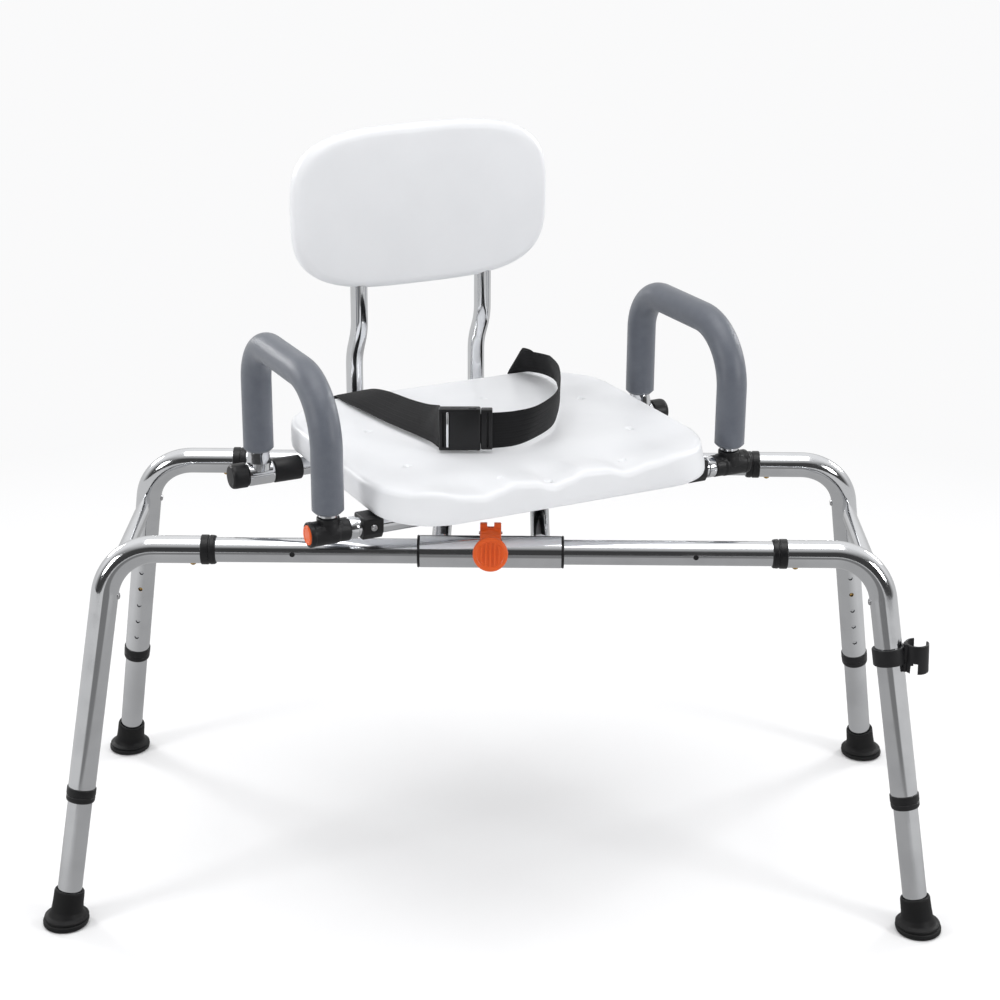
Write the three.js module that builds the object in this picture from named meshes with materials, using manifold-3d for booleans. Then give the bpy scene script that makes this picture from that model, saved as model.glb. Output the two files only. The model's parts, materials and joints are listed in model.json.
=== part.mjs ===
// Bath transfer bench: a telescopic rail frame on four height-adjustable legs, a carriage that
// slides along the rails, and a swivelling seat with a backrest, a belt and two flip-up arms.
// Millimetres, +Z up, X along the rails, the seat's front towards -Y. The origin is on the floor,
// under the middle of the bench's bounding box.
import * as THREE from 'three';
import { mergeVertices } from 'three/addons/utils/BufferGeometryUtils.js';
import Module from 'manifold-3d';

const wasm = await Module();
wasm.setup();

// ---- driving dimensions ----------------------------------------------------------------------
const gap = 0.4;                 // clearance between neighbouring pieces
const outerR = 15.9;             // end tubes, 1 1/4 inch
const innerR = 14.3;             // telescoping tubes, 1 1/8 inch
const innerBoreR = 12.9;
const tubeSides = 12;
const railZ = 448;               // rail axis above the floor
const railY = 153;               // rail axis to the bench's middle
const cornerX = 440;             // where rail and leg axes meet
const footX = 505;               // leg axis at the floor
const footY = 228;
const bendR = 60;                // bend of the end tubes
const collarX = 327;             // middle of the rail collars
const collarW = 17;
const collarR = 17.8;
const lockX = 230;               // lock holes of the front rail
const innerRailHalf = 370;
const legCollarS = 163;          // leg collar, measured up the leg axis
const buttonS = 271;             // snap button, measured up the leg axis
const holePitch = 25.4;
const holesBelow = 3;            // free holes under the snap button
const legTopS = 355;             // inner leg's top, measured up the leg axis
const legFootS = 25;
const sleeveHalf = 85;
const sleeveR = 18.5;
const crossX = 57;
const crossR = 11;
const carriageX = -4;            // carriage's place along the rails at rest
const swivelDeg = 27;            // seat turned towards the user's side at rest
const pivotZ = railZ + 50;       // seat tubes and arm pivots
const seatTubeR = 11;
const frontTubeY = -117;
const rearTubeY = 98;
const armX = 260.5;               // plane of each arm
const armTopZ = railZ + 216;
const gripR = 18;
const seatHalfX = 214;
const seatFrontY = -200;
const seatBackY = 184;
const seatCornerR = 86;
const seatBottomZ = railZ + 64;
const seatTopZ = railZ + 101;
const panelHalfX = 171;
const panelBottomZ = railZ + 231;
const panelTopZ = railZ + 430;
const panelPower = 3.4;           // squareness of the backrest's outline
const panelFrontY = 187;
const panelThick = 27;
const backTubeX = 85;
const backTubeTopZ = panelBottomZ + 82;
const beltWidth = 43;
const beltThick = 2.4;
const boxCentreY = 4.06;        // middle of the bounding box before the bench is centred

// A faceted bore that clears a faceted tube of radius r at any turn.
const boreFor = (r) => r / Math.cos(Math.PI / tubeSides) + 0.25;

// ---- materials -------------------------------------------------------------------------------
const finishes = {
  chrome: { color: 0xd4d7da, roughness: 0.16, metalness: 1.0 },
  blackPlastic: { color: 0x1b1c1e, roughness: 0.45, metalness: 0.0 },
  orangePlastic: { color: 0xe65a1e, roughness: 0.4, metalness: 0.0 },
  whitePlastic: { color: 0xf2f3f4, roughness: 0.4, metalness: 0.0 },
  rubber: { color: 0x161617, roughness: 0.8, metalness: 0.0 },
  brass: { color: 0xc79a4c, roughness: 0.3, metalness: 1.0 },
  foam: { color: 0x5d626c, roughness: 0.7, metalness: 0.0 },
  webbing: { color: 0x1a1a1c, roughness: 0.9, metalness: 0.0 },
};

function piece(name, geometry, finish, parent) {
  const mesh = new THREE.Mesh(geometry, new THREE.MeshStandardMaterial(finishes[finish]));
  mesh.name = name;
  parent.add(mesh);
  return mesh;
}

// ---- solids ----------------------------------------------------------------------------------
function toSolid(geometry) {
  const bare = geometry.clone();
  bare.deleteAttribute('normal');
  bare.deleteAttribute('uv');
  const merged = mergeVertices(bare, 1e-4);
  return new wasm.Manifold(new wasm.Mesh({
    numProp: 3,
    vertProperties: new Float32Array(merged.attributes.position.array),
    triVerts: new Uint32Array(merged.index.array),
  }));
}

function toGeometry(solid) {
  const mesh = solid.getMesh();
  const geometry = new THREE.BufferGeometry();
  geometry.setAttribute('position', new THREE.BufferAttribute(mesh.vertProperties, 3));
  geometry.setIndex(new THREE.BufferAttribute(mesh.triVerts, 1));
  geometry.computeVertexNormals();
  return geometry;
}

function join(first, ...others) {
  return toGeometry(others.reduce((sum, each) => sum.add(toSolid(each)), toSolid(first)));
}

function cut(geometry, ...tools) {
  return toGeometry(tools.reduce((rest, each) => rest.subtract(toSolid(each)), toSolid(geometry)));
}

const v3 = (x, y, z) => new THREE.Vector3(x, y, z);

// A path whose stations are given points, so that straight runs need no steps of their own.
class StationPath extends THREE.Curve {
  constructor(points) {
    super();
    this.points = points;
  }
  getPoint(t) {
    const place = t * (this.points.length - 1);
    const index = Math.min(Math.floor(place), this.points.length - 2);
    return this.points[index].clone().lerp(this.points[index + 1], place - index);
  }
  getPointAt(u) {
    return this.getPoint(u);
  }
  getTangentAt(u) {
    const last = this.points.length - 1;
    const index = Math.round(u * last);
    const before = this.points[Math.max(index - 1, 0)];
    const here = this.points[index];
    const after = this.points[Math.min(index + 1, last)];
    const incoming = here.clone().sub(before).normalize();
    const outgoing = after.clone().sub(here).normalize();
    return incoming.add(outgoing).normalize();
  }
}

// Corner points with a rounded bend at every inner one.
function bentPath(corners, radii, bendSteps = 4) {
  const stations = [corners[0]];
  for (let i = 1; i < corners.length - 1; i += 1) {
    const incoming = corners[i].clone().sub(corners[i - 1]).normalize();
    const outgoing = corners[i + 1].clone().sub(corners[i]).normalize();
    const turn = incoming.angleTo(outgoing);
    const radius = radii[i - 1];
    const start = corners[i].clone().addScaledVector(incoming, -radius * Math.tan(turn / 2));
    const side = outgoing.clone().addScaledVector(incoming, -outgoing.dot(incoming)).normalize();
    const centre = start.clone().addScaledVector(side, radius);
    for (let k = 0; k <= bendSteps; k += 1) {
      const angle = turn * k / bendSteps;
      stations.push(centre.clone().addScaledVector(side, -radius * Math.cos(angle))
        .addScaledVector(incoming, radius * Math.sin(angle)));
    }
  }
  stations.push(corners[corners.length - 1]);
  return new StationPath(stations);
}

function ringShape(radius, boreR, sides) {
  const around = (r) => Array.from({ length: sides }, (_, k) => {
    const angle = 2 * Math.PI * (k + 0.5) / sides;
    return new THREE.Vector2(r * Math.cos(angle), r * Math.sin(angle));
  });
  const shape = new THREE.Shape(around(radius));
  if (boreR > 0) shape.holes.push(new THREE.Path(around(boreR)));
  return shape;
}

function pipe(path, radius, boreR = 0, sides = tubeSides) {
  return new THREE.ExtrudeGeometry(ringShape(radius, boreR, sides), {
    extrudePath: path, steps: path.points.length - 1, bevelEnabled: false,
  });
}

function rod(from, to, radius, boreR = 0, sides = tubeSides) {
  return pipe(new StationPath([from, to]), radius, boreR, sides);
}

function block(x, y, z, centre) {
  return new THREE.BoxGeometry(x, y, z).translate(centre.x, centre.y, centre.z);
}

// A closed (radius, height) profile turned about the line from "base" along "axis".
function turned(profile, base, axis, segments = tubeSides) {
  const geometry = new THREE.LatheGeometry(profile.map(([r, h]) => new THREE.Vector2(r, h)), segments);
  geometry.applyQuaternion(new THREE.Quaternion().setFromUnitVectors(v3(0, 1, 0), axis));
  return geometry.translate(base.x, base.y, base.z);
}

const sides = [['left', -1], ['right', 1]];
const ends = [['front', -1], ['rear', 1]];
const corners = ends.flatMap(([end, sy]) => sides.map(([side, sx]) => {
  const top = v3(sx * cornerX, sy * railY, railZ);
  const floor = v3(sx * footX, sy * footY, 0);
  const up = top.clone().sub(floor).normalize();
  const inward = v3(0, -sy, 0);
  inward.addScaledVector(up, -inward.dot(up)).normalize();
  return { name: `${end}_${side}`, sx, sy, top, floor, up, inward,
    along: (s) => floor.clone().addScaledVector(up, s) };
}));

// ---- base frame ------------------------------------------------------------------------------
const railButtonR = 3.7;
const legButtonR = 3.0;
const holeR = 3.6;

function legHoles(leg) {
  const steps = Array.from({ length: holesBelow + 2 }, (_, k) => buttonS + holePitch * (1 - k));
  return steps.map((s) => rod(leg.along(s), leg.along(s).addScaledVector(leg.inward, 20), holeR, 0, 8));
}

function railButtonHole(leg) {
  const x = leg.sx * (collarX + 19);
  return rod(v3(x, leg.top.y, railZ - 25), v3(x, leg.top.y, railZ - 5), railButtonR + 0.6, 0, 8);
}

function endTube(leg) {
  const start = v3(leg.sx * (collarX - 5), leg.top.y, railZ);
  const path = bentPath([start, leg.top, leg.along(legCollarS - 5)], [bendR], 5);
  return cut(pipe(path, outerR, boreFor(innerR)), railButtonHole(leg), ...legHoles(leg));
}

// A collar over a tube's end: a thin lip in front of the end, then a band around the outer tube.
function tubeCollar(endPoint, axis) {
  const lip = 3.6;
  return turned([
    [boreFor(innerR), 0], [collarR, 0], [collarR, collarW],
    [boreFor(outerR), collarW], [boreFor(outerR), lip], [boreFor(innerR), lip], [boreFor(innerR), 0],
  ], endPoint.clone().addScaledVector(axis, -lip - gap), axis);
}

function innerRail(sy) {
  const start = v3(-innerRailHalf, sy * railY, railZ);
  const rail = rod(start, start.clone().setX(innerRailHalf), innerR, innerBoreR);
  const buttonHoles = corners.filter((leg) => leg.sy === sy).map(railButtonHole);
  const lockHoles = sy > 0 ? [] : [-lockX, lockX].map((x) =>
    rod(v3(x, -railY, railZ), v3(x, -railY - 20, railZ), 3, 0, 10));
  return cut(rail, ...buttonHoles, ...lockHoles);
}

// A snap button with the leaf that springs it, along "press".
const button = { stem: 7, shoulder: 1.2, leafWidth: 6, leafThick: 1, leafLong: 34 };

function snapButton(base, press, run, radius, reach) {
  const pressed = (back) => base.clone().addScaledVector(press, reach - back);
  const stem = rod(pressed(button.stem), pressed(button.shoulder), radius, 0, 12);
  const dome = rod(pressed(button.shoulder + gap), pressed(0), radius * 0.7, 0, 12);
  const leaf = new THREE.BoxGeometry(button.leafWidth, button.leafThick, button.leafLong);
  leaf.translate(0, 0, button.leafLong / 2 - radius);
  const across = run.clone().cross(press).normalize();
  leaf.applyMatrix4(new THREE.Matrix4().makeBasis(across.negate(), press, run));
  const root = pressed(button.stem);
  leaf.translate(root.x, root.y, root.z);
  return join(stem, dome, leaf);
}

function innerLeg(leg) {
  const tube = rod(leg.along(legFootS), leg.along(legTopS), innerR, innerBoreR);
  const hole = rod(leg.along(buttonS), leg.along(buttonS).addScaledVector(leg.inward, 20), holeR, 0, 8);
  return cut(tube, hole);
}

function foot(leg) {
  const base = turned([
    [0, 0], [26.5, 0], [28.5, 2], [28.5, 9], [26.5, 12], [21.5, 17], [18.5, 24], [0, 24],
  ], leg.floor, v3(0, 0, 1), 16);
  const neck = rod(leg.along(14), leg.along(46), 17.3, 0, 16);
  const bore = rod(leg.along(legFootS - gap), leg.along(60), innerR + 0.5, 0, 16);
  return cut(join(base, neck), bore);
}

function brace(sx) {
  const [front, rear] = corners.filter((leg) => leg.sx === sx);
  const s = front.top.distanceTo(front.floor) - 56;
  const tube = rod(front.along(s), rear.along(s), 9.5, 0, 12);
  const saddles = [front, rear].map((leg) => rod(leg.along(s - 40), leg.along(s + 40), boreFor(outerR)));
  return cut(tube, ...saddles);
}

// A band round the leg with a lug plate and an upright clip, open at the back and notched in front.
const holder = {
  drop: 129.5, bandR: 20, bandH: 20, clipAt: v3(29.5, -6, -6), clipUp: v3(-1, 3, 34), clipR: 14, boreR: 11,
};

function showerHolder() {
  const leg = corners.find((each) => each.name === 'front_right');
  const s = leg.top.distanceTo(leg.floor) - holder.drop;
  const at = leg.along(s);
  const middle = leg.along(s + holder.bandH / 2);
  const band = rod(at, leg.along(s + holder.bandH), holder.bandR, 0, 16);
  const clipBase = at.clone().add(holder.clipAt);
  const clipTop = clipBase.clone().add(holder.clipUp);
  const clip = rod(clipBase, clipTop, holder.clipR, 0, 16);
  const bridge = block(14, 10, 16, middle.clone().add(v3(16, -3, 0)));
  const lug = block(4.6, 9, 35, clipBase.clone().add(v3(-13.5, 0, 17)));
  const legBore = rod(leg.along(s - 30), leg.along(s + 50), boreFor(outerR));
  const boreLow = clipBase.clone().sub(holder.clipUp);
  const boreHigh = clipTop.clone().add(holder.clipUp);
  const clipBore = rod(boreLow, boreHigh, holder.boreR, 0, 12);
  const mouth = block(18, 30, 90, clipBase.clone().add(v3(7, 18, 17)));
  const notch = block(8.5, 12, 26, clipBase.clone().add(v3(-5, -12, 0)));
  return cut(join(band, clip, bridge, lug), legBore, clipBore, mouth, notch);
}

const bench = new THREE.Group();
const frame = new THREE.Group();
bench.add(frame);
for (const leg of corners) {
  piece(`end_tube_${leg.name}`, endTube(leg), 'chrome', frame);
  const railEnd = v3(leg.sx * (collarX - 5), leg.top.y, railZ);
  piece(`rail_collar_${leg.name}`, tubeCollar(railEnd, v3(leg.sx, 0, 0)), 'blackPlastic', frame);
  piece(`leg_collar_${leg.name}`, tubeCollar(leg.along(legCollarS - 5), leg.up), 'blackPlastic', frame);
  const buttonAt = v3(leg.sx * (collarX + 19), leg.top.y, railZ);
  const railButton = snapButton(buttonAt, v3(0, 0, -1), v3(-leg.sx, 0, 0), railButtonR, 18.8);
  piece(`rail_button_${leg.name}`, railButton, 'brass', frame);
  piece(`inner_leg_${leg.name}`, innerLeg(leg), 'chrome', frame);
  piece(`foot_${leg.name}`, foot(leg), 'rubber', frame);
  const legButton = snapButton(leg.along(buttonS), leg.inward, leg.up, legButtonR, innerR + 0.1);
  piece(`leg_button_${leg.name}`, legButton, 'brass', frame);
}
for (const [end, sy] of ends) piece(`inner_rail_${end}`, innerRail(sy), 'chrome', frame);
for (const [side, sx] of sides) piece(`brace_${side}`, brace(sx), 'chrome', frame);
piece('shower_holder', showerHolder(), 'blackPlastic', frame);

// ---- sliding carriage ------------------------------------------------------------------------
const plateZ = railZ + crossR + 8 + gap;
const raceZ = plateZ + 3;
const raceH = 4.6;
const raceR = 55;

function crossTube(sx) {
  const tube = rod(v3(sx * crossX, -railY, railZ + 8), v3(sx * crossX, railY, railZ + 8), crossR, 0, 14);
  const saddles = [-1, 1].map((sy) => {
    const start = v3(0, sy * railY, railZ);
    return rod(start, start.clone().setX(sx * 90), sleeveR + gap, 0, 20);
  });
  return cut(tube, ...saddles);
}

function swivelBase() {
  const plate = block(150, 116, 3, v3(0, 0, plateZ + 1.5));
  const race = rod(v3(0, 0, raceZ - 1), v3(0, 0, raceZ + raceH), raceR, 0, 28);
  const hub = rod(v3(0, 0, plateZ - 5), v3(0, 0, raceZ + 20), 22, 0, 20);
  return cut(join(plate, race), hub);
}

// The lever's side view, from the sleeve's axis: blade over the sleeve, arm folded to the front.
const leverWidth = 24;
const leverProfile = [
  [0, 20.5], [0, 36], [-5, 36], [-6, 29], [-20, 27], [-28, 19.5],
  [-36, 8], [-31.5, 5], [-24.5, 15.5], [-17, 20.5],
];
const paddle = { at: v3(0, -31.5, 10), face: v3(0, -0.98, 0.17).normalize(), radius: 20, thick: 5.5 };

function lockLever() {
  const arm = new THREE.Shape(leverProfile.map(([y, z]) => new THREE.Vector2(y - railY, z + railZ)));
  const strip = new THREE.ExtrudeGeometry(arm, { depth: leverWidth, bevelEnabled: false });
  strip.applyMatrix4(new THREE.Matrix4().makeBasis(v3(0, 1, 0), v3(0, 0, 1), v3(1, 0, 0)));
  strip.translate(-leverWidth / 2, 0, 0);
  const middle = paddle.at.clone().add(v3(0, -railY, railZ));
  const disc = rod(middle, middle.clone().addScaledVector(paddle.face, paddle.thick), paddle.radius, 0, 24);
  const notch = block(8, 30, 10, v3(0, -railY, railZ + 36));
  return cut(join(strip, disc), notch);
}

const carriage = new THREE.Group();
carriage.position.x = carriageX;
bench.add(carriage);
for (const [end, sy] of ends) {
  const start = v3(-sleeveHalf, sy * railY, railZ);
  const sleeve = rod(start, start.clone().setX(sleeveHalf), sleeveR, boreFor(innerR), 20);
  piece(`sleeve_${end}`, sleeve, 'chrome', carriage);
}
for (const [side, sx] of sides) piece(`cross_tube_${side}`, crossTube(sx), 'chrome', carriage);
piece('swivel_base', swivelBase(), 'blackPlastic', carriage);
piece('lock_lever', lockLever(), 'orangePlastic', carriage);

// ---- swivelling seat -------------------------------------------------------------------------
const socketStartX = 237.5;
const socketEndX = 285;
const buttonSeat = 8;             // how deep a release button sits in its socket
const teeHalf = 16.2;
const capX = armX + teeHalf + 2 * gap;
const socketR = 14;
const collarTopZ = pivotZ + 18;
const pinR = 4.5;
const cutBack = 0.6;

function swivelTop() {
  const low = raceZ + raceH + gap;
  const race = rod(v3(0, 0, low), v3(0, 0, low + raceH + 1), raceR, 0, 28);
  const plate = block(142, 142, 3, v3(0, 0, low + raceH + 1.5));
  const railLength = rearTubeY - frontTubeY - 2 * seatTubeR - 2 * gap;
  const railLow = low + raceH + 1;
  const beams = sides.map(([, sx]) => block(20, railLength, seatBottomZ - gap - railLow,
    v3(sx * 58, (frontTubeY + rearTubeY) / 2, (seatBottomZ - gap + railLow) / 2)));
  const hub = rod(v3(0, 0, low - 5), v3(0, 0, low + 30), 22, 0, 20);
  return cut(join(race, plate, ...beams), hub);
}

function roundedOutline(halfX, frontY, backY, frontR, backR, steps = 6) {
  const shape = new THREE.Shape();
  const spots = [[halfX - backR, backY - backR, backR, 0], [-halfX + backR, backY - backR, backR, 1],
    [-halfX + frontR, frontY + frontR, frontR, 2], [halfX - frontR, frontY + frontR, frontR, 3]];
  const points = spots.flatMap(([x, y, r, quarter]) => Array.from({ length: steps + 1 }, (_, k) => {
    const angle = (quarter + k / steps) * Math.PI / 2;
    return new THREE.Vector2(x + r * Math.cos(angle), y + r * Math.sin(angle));
  }));
  return shape.setFromPoints(points);
}

// A bevelled slab from "low" to "high"; the outline is the widest section.
function slab(outline, low, high, bevel) {
  const geometry = new THREE.ExtrudeGeometry(outline, {
    depth: high - low - 2 * bevel, bevelEnabled: true, bevelSegments: 2, bevelSize: bevel,
    bevelThickness: bevel, bevelOffset: -bevel,
  });
  return geometry.translate(0, 0, low + bevel);
}

// A rounded oblong between an ellipse and a rectangle.
function oblong(halfX, halfY, power, steps = 40) {
  const bow = (v) => Math.sign(v) * Math.abs(v) ** (2 / power);
  return new THREE.Shape(Array.from({ length: steps }, (_, k) => {
    const angle = 2 * Math.PI * (k + 0.5) / steps;
    return new THREE.Vector2(halfX * bow(Math.cos(angle)), halfY * bow(Math.sin(angle)));
  }));
}

const backTubeR = 10.6;
const panelTubeY = panelFrontY + panelThick / 2;

// The backrest's underside has a socket for each of its two tubes.
function backPanel() {
  const outline = oblong(panelHalfX, (panelTopZ - panelBottomZ) / 2, panelPower);
  const panel = slab(outline, 0, panelThick, 9);
  panel.rotateX(Math.PI / 2);
  panel.translate(0, panelFrontY + panelThick, (panelTopZ + panelBottomZ) / 2);
  const sockets = sides.map(([, sx]) => rod(v3(sx * backTubeX, panelTubeY, panelBottomZ - 20),
    v3(sx * backTubeX, panelTubeY, backTubeTopZ + 1), boreFor(backTubeR)));
  return cut(panel, ...sockets);
}

// Out from under the seat, up behind it, then forward into the backrest.
function backTube(sx) {
  const x = sx * backTubeX;
  const behindY = panelTubeY + 18.5;
  const path = bentPath([
    v3(x, rearTubeY + seatTubeR + 3, pivotZ), v3(x, behindY, pivotZ), v3(x, behindY, railZ + 140),
    v3(x, panelTubeY, railZ + 178), v3(x, panelTubeY, backTubeTopZ),
  ], [26, 60, 60], 3);
  return pipe(path, backTubeR, 0, 12);
}

// The black housing on each end of the front seat tube: barrel, upright collar, both bored.
function armSocket(sx) {
  const onTube = (x) => v3(sx * x, frontTubeY, pivotZ);
  const barrel = rod(onTube(socketStartX), onTube(socketEndX), socketR);
  const collar = rod(v3(sx * armX, frontTubeY, pivotZ), v3(sx * armX, frontTubeY, collarTopZ), 13);
  const onPin = (z) => v3(sx * armX, frontTubeY, z);
  const pinBore = rod(onPin(pivotZ + 5), onPin(collarTopZ + 5), pinR + 3, 0, 12);
  const buttonBore = rod(onTube(socketEndX - buttonSeat - 5), onTube(socketEndX + 5), 12.3);
  return cut(join(barrel, collar), pinBore, buttonBore);
}

function releaseButton(sx) {
  return turned([[0, 0], [11.5, 0], [11.5, 8.4], [10.2, 9.6], [0, 9.6]],
    v3(sx * (socketEndX - buttonSeat), frontTubeY, pivotZ), v3(sx, 0, 0));
}

function axleCap(sx) {
  const profile = [[0, 0], [15, 0], [15, 15], [13, 18.5], [0, 20]];
  return turned(profile, v3(sx * capX, rearTubeY, pivotZ), v3(sx, 0, 0));
}

const beltRoutes = {
  left: [[-127, 182], [-143, 128], [-129, 38], [-107, -42], [-97.5, -51.3]],
  right: [[-37.7, -80.5], [-2, -80.5], [60, -42], [113, 33], [139, 105], [141, 152], [121, 182]],
};

// Webbing standing on its edge: the route's outline, half a thickness to each side, drawn upwards.
function belt(side) {
  const route = new THREE.CatmullRomCurve3(beltRoutes[side].map(([x, y]) => v3(x, y, 0)));
  const stations = route.getSpacedPoints(14);
  const offset = (amount) => stations.map((p, k) => {
    const t = route.getTangentAt(k / 14);
    return new THREE.Vector2(p.x - t.y * amount, p.y + t.x * amount);
  });
  const outline = [...offset(beltThick / 2), ...offset(-beltThick / 2).reverse()];
  const shape = new THREE.Shape(outline);
  const strip = new THREE.ExtrudeGeometry(shape, { depth: beltWidth, bevelEnabled: false });
  return strip.translate(0, 0, seatTopZ + 5);
}

function buckleHalf(from, to, thick, height) {
  const run = v3(to[0] - from[0], to[1] - from[1], 0);
  const box = new THREE.BoxGeometry(run.length(), thick, height);
  box.rotateZ(Math.atan2(run.y, run.x));
  return box.translate((from[0] + to[0]) / 2, (from[1] + to[1]) / 2, seatTopZ + gap + height / 2);
}

const seat = new THREE.Group();
seat.rotation.z = THREE.MathUtils.degToRad(swivelDeg);
bench.add(seat);
piece('swivel_top', swivelTop(), 'blackPlastic', seat);
const frontTubeEnd = socketStartX - gap;
const rearTubeEnd = capX - gap;
const seatTube = (y, end) => rod(v3(-end, y, pivotZ), v3(end, y, pivotZ), seatTubeR);
seat.position.x = carriageX;
piece('seat_tube_front', seatTube(frontTubeY, frontTubeEnd), 'chrome', seat);
piece('seat_tube_rear', seatTube(rearTubeY, rearTubeEnd), 'chrome', seat);
const seatOutline = roundedOutline(seatHalfX, seatFrontY, seatBackY, seatCornerR, seatCornerR);
piece('seat_shell', slab(seatOutline, seatBottomZ, seatTopZ, 8), 'whitePlastic', seat);
piece('back_panel', backPanel(), 'whitePlastic', seat);
for (const [side, sx] of sides) {
  piece(`back_tube_${side}`, backTube(sx), 'chrome', seat);
  piece(`arm_socket_${side}`, armSocket(sx), 'blackPlastic', seat);
  piece(`release_button_${side}`, releaseButton(sx), 'orangePlastic', seat);
  piece(`axle_cap_${side}`, axleCap(sx), 'blackPlastic', seat);
  piece(`belt_${side}`, belt(side), 'webbing', seat);
}
piece('buckle_socket', buckleHalf([-95.1, -52.5], [-51.8, -73.7], 13, 51), 'blackPlastic', seat);
piece('buckle_plug', buckleHalf([-51.4, -73.9], [-39.6, -79.7], 11, 49), 'blackPlastic', seat);

// ---- flip-up arms ----------------------------------------------------------------------------
const armCorners = (x, rearLow, frontLow) => [
  v3(x, rearTubeY, rearLow), v3(x, rearTubeY, armTopZ),
  v3(x, frontTubeY, armTopZ), v3(x, frontTubeY, frontLow),
];
const armBends = [50, 72];

function armTube(sx) {
  const x = sx * armX;
  const stations = armCorners(x, pivotZ + seatTubeR + 1, collarTopZ + cutBack);
  const tube = pipe(bentPath(stations, armBends, 5), seatTubeR);
  const barrel = rod(v3(x - teeHalf, rearTubeY, pivotZ), v3(x + teeHalf, rearTubeY, pivotZ), 14.4);
  const axle = rod(v3(x - 30, rearTubeY, pivotZ), v3(x + 30, rearTubeY, pivotZ), boreFor(seatTubeR));
  const pin = rod(v3(x, frontTubeY, collarTopZ + 3), v3(x, frontTubeY, collarTopZ - 11), pinR, 0, 12);
  return cut(join(tube, barrel, pin), axle);
}

function grip(sx) {
  const path = bentPath(armCorners(sx * armX, pivotZ + 29, collarTopZ + 5), armBends, 5);
  return pipe(path, gripR, boreFor(seatTubeR));
}

for (const [side, sx] of sides) {
  piece(`arm_tube_${side}`, armTube(sx), 'chrome', seat);
  piece(`grip_${side}`, grip(sx), 'foam', seat);
}

bench.position.set(0, -boxCentreY, 0);
export default bench;
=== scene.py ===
import json
import math

import bmesh
import bpy
from mathutils import Matrix, Vector, noise


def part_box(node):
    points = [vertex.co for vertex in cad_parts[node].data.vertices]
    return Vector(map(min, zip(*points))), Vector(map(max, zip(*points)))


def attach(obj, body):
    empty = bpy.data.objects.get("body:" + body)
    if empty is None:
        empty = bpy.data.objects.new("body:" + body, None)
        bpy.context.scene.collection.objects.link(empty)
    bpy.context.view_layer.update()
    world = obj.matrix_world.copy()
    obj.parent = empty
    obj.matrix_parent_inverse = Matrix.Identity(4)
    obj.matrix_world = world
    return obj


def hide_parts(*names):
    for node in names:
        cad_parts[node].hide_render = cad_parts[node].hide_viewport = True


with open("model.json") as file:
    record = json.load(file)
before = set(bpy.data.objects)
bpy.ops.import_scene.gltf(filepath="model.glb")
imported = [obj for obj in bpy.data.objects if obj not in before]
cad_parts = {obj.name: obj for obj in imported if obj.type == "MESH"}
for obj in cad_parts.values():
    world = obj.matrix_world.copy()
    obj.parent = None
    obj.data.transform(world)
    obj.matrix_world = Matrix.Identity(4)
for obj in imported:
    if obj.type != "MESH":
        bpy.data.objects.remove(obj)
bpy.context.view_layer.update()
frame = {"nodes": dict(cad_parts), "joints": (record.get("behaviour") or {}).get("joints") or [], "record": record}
joints = {each["name"]: each for each in frame["joints"]}

# Everything below is in metres, in the frame's own axes: Z up, X along the rails, front towards -Y.
zAxis = Vector((0, 0, 1))
xAxis = Vector((1, 0, 0))
yAxis = Vector((0, 1, 0))
onAxis = 0.0003  # radius of a turned piece where it closes on its axis
sides = (("left", -1), ("right", 1))
ends = (("front", -1), ("rear", 1))


def middleOf(node):
    low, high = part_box(node)
    return (low + high) / 2


frontRail = middleOf("inner_rail_front")
rearRail = middleOf("inner_rail_rear")
railZ = frontRail.z
middleX, middleY = joints["seat_swivel"]["pos_m"][:2]

# The seat is modelled square to its own axes and turned with its swivel afterwards.
pivot = Vector(joints["arm_flip_left"]["pos_m"])
hingeAxis = Vector(joints["arm_flip_left"]["axis"])
seatAngle = math.atan2(-hingeAxis.y, -hingeAxis.x)
seatSpace = Matrix.Translation((middleX, middleY, 0)) @ Matrix.Rotation(seatAngle, 4, "Z")
pivotZ = pivot.z
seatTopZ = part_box("seat_shell")[1].z
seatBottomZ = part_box("seat_shell")[0].z


def legFacts(name, sx, sy):
    up = -Vector(joints["leg_extend_" + name]["axis"]).normalized()
    low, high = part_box("foot_" + name)
    floor = Vector(((low.x + high.x) / 2, (low.y + high.y) / 2, 0))
    inward = Vector(joints["leg_snap_" + name]["axis"]).normalized()
    length = railZ / up.z
    return {"name": name, "sx": sx, "sy": sy, "up": up, "floor": floor, "inward": inward,
            "length": length, "top": floor + up * length}


legs = [legFacts(f"{end}_{side}", sx, sy) for end, sy in ends for side, sx in sides]


def along(leg, distance):
    return leg["floor"] + leg["up"] * distance


# ---- shader writing: a socket that can be used in Python expressions
class Wire:
    def __init__(self, net, socket):
        self.net = net
        self.socket = socket

    def maths(self, operation, first, second=None):
        values = {0: first} if second is None else {0: first, 1: second}
        return self.net.add("ShaderNodeMath", {"operation": operation}, values)

    def __add__(self, other):
        return self.maths("ADD", self, other)

    def __radd__(self, other):
        return self.maths("ADD", other, self)

    def __sub__(self, other):
        return self.maths("SUBTRACT", self, other)

    def __rsub__(self, other):
        return self.maths("SUBTRACT", other, self)

    def __mul__(self, other):
        return self.maths("MULTIPLY", self, other)

    def __rmul__(self, other):
        return self.maths("MULTIPLY", other, self)

    def __truediv__(self, other):
        return self.maths("DIVIDE", self, other)

    def __rtruediv__(self, other):
        return self.maths("DIVIDE", other, self)

    def __pow__(self, other):
        return self.maths("POWER", self, other)

    def __gt__(self, other):
        return self.maths("GREATER_THAN", self, other)

    def __lt__(self, other):
        return self.maths("LESS_THAN", self, other)


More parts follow.
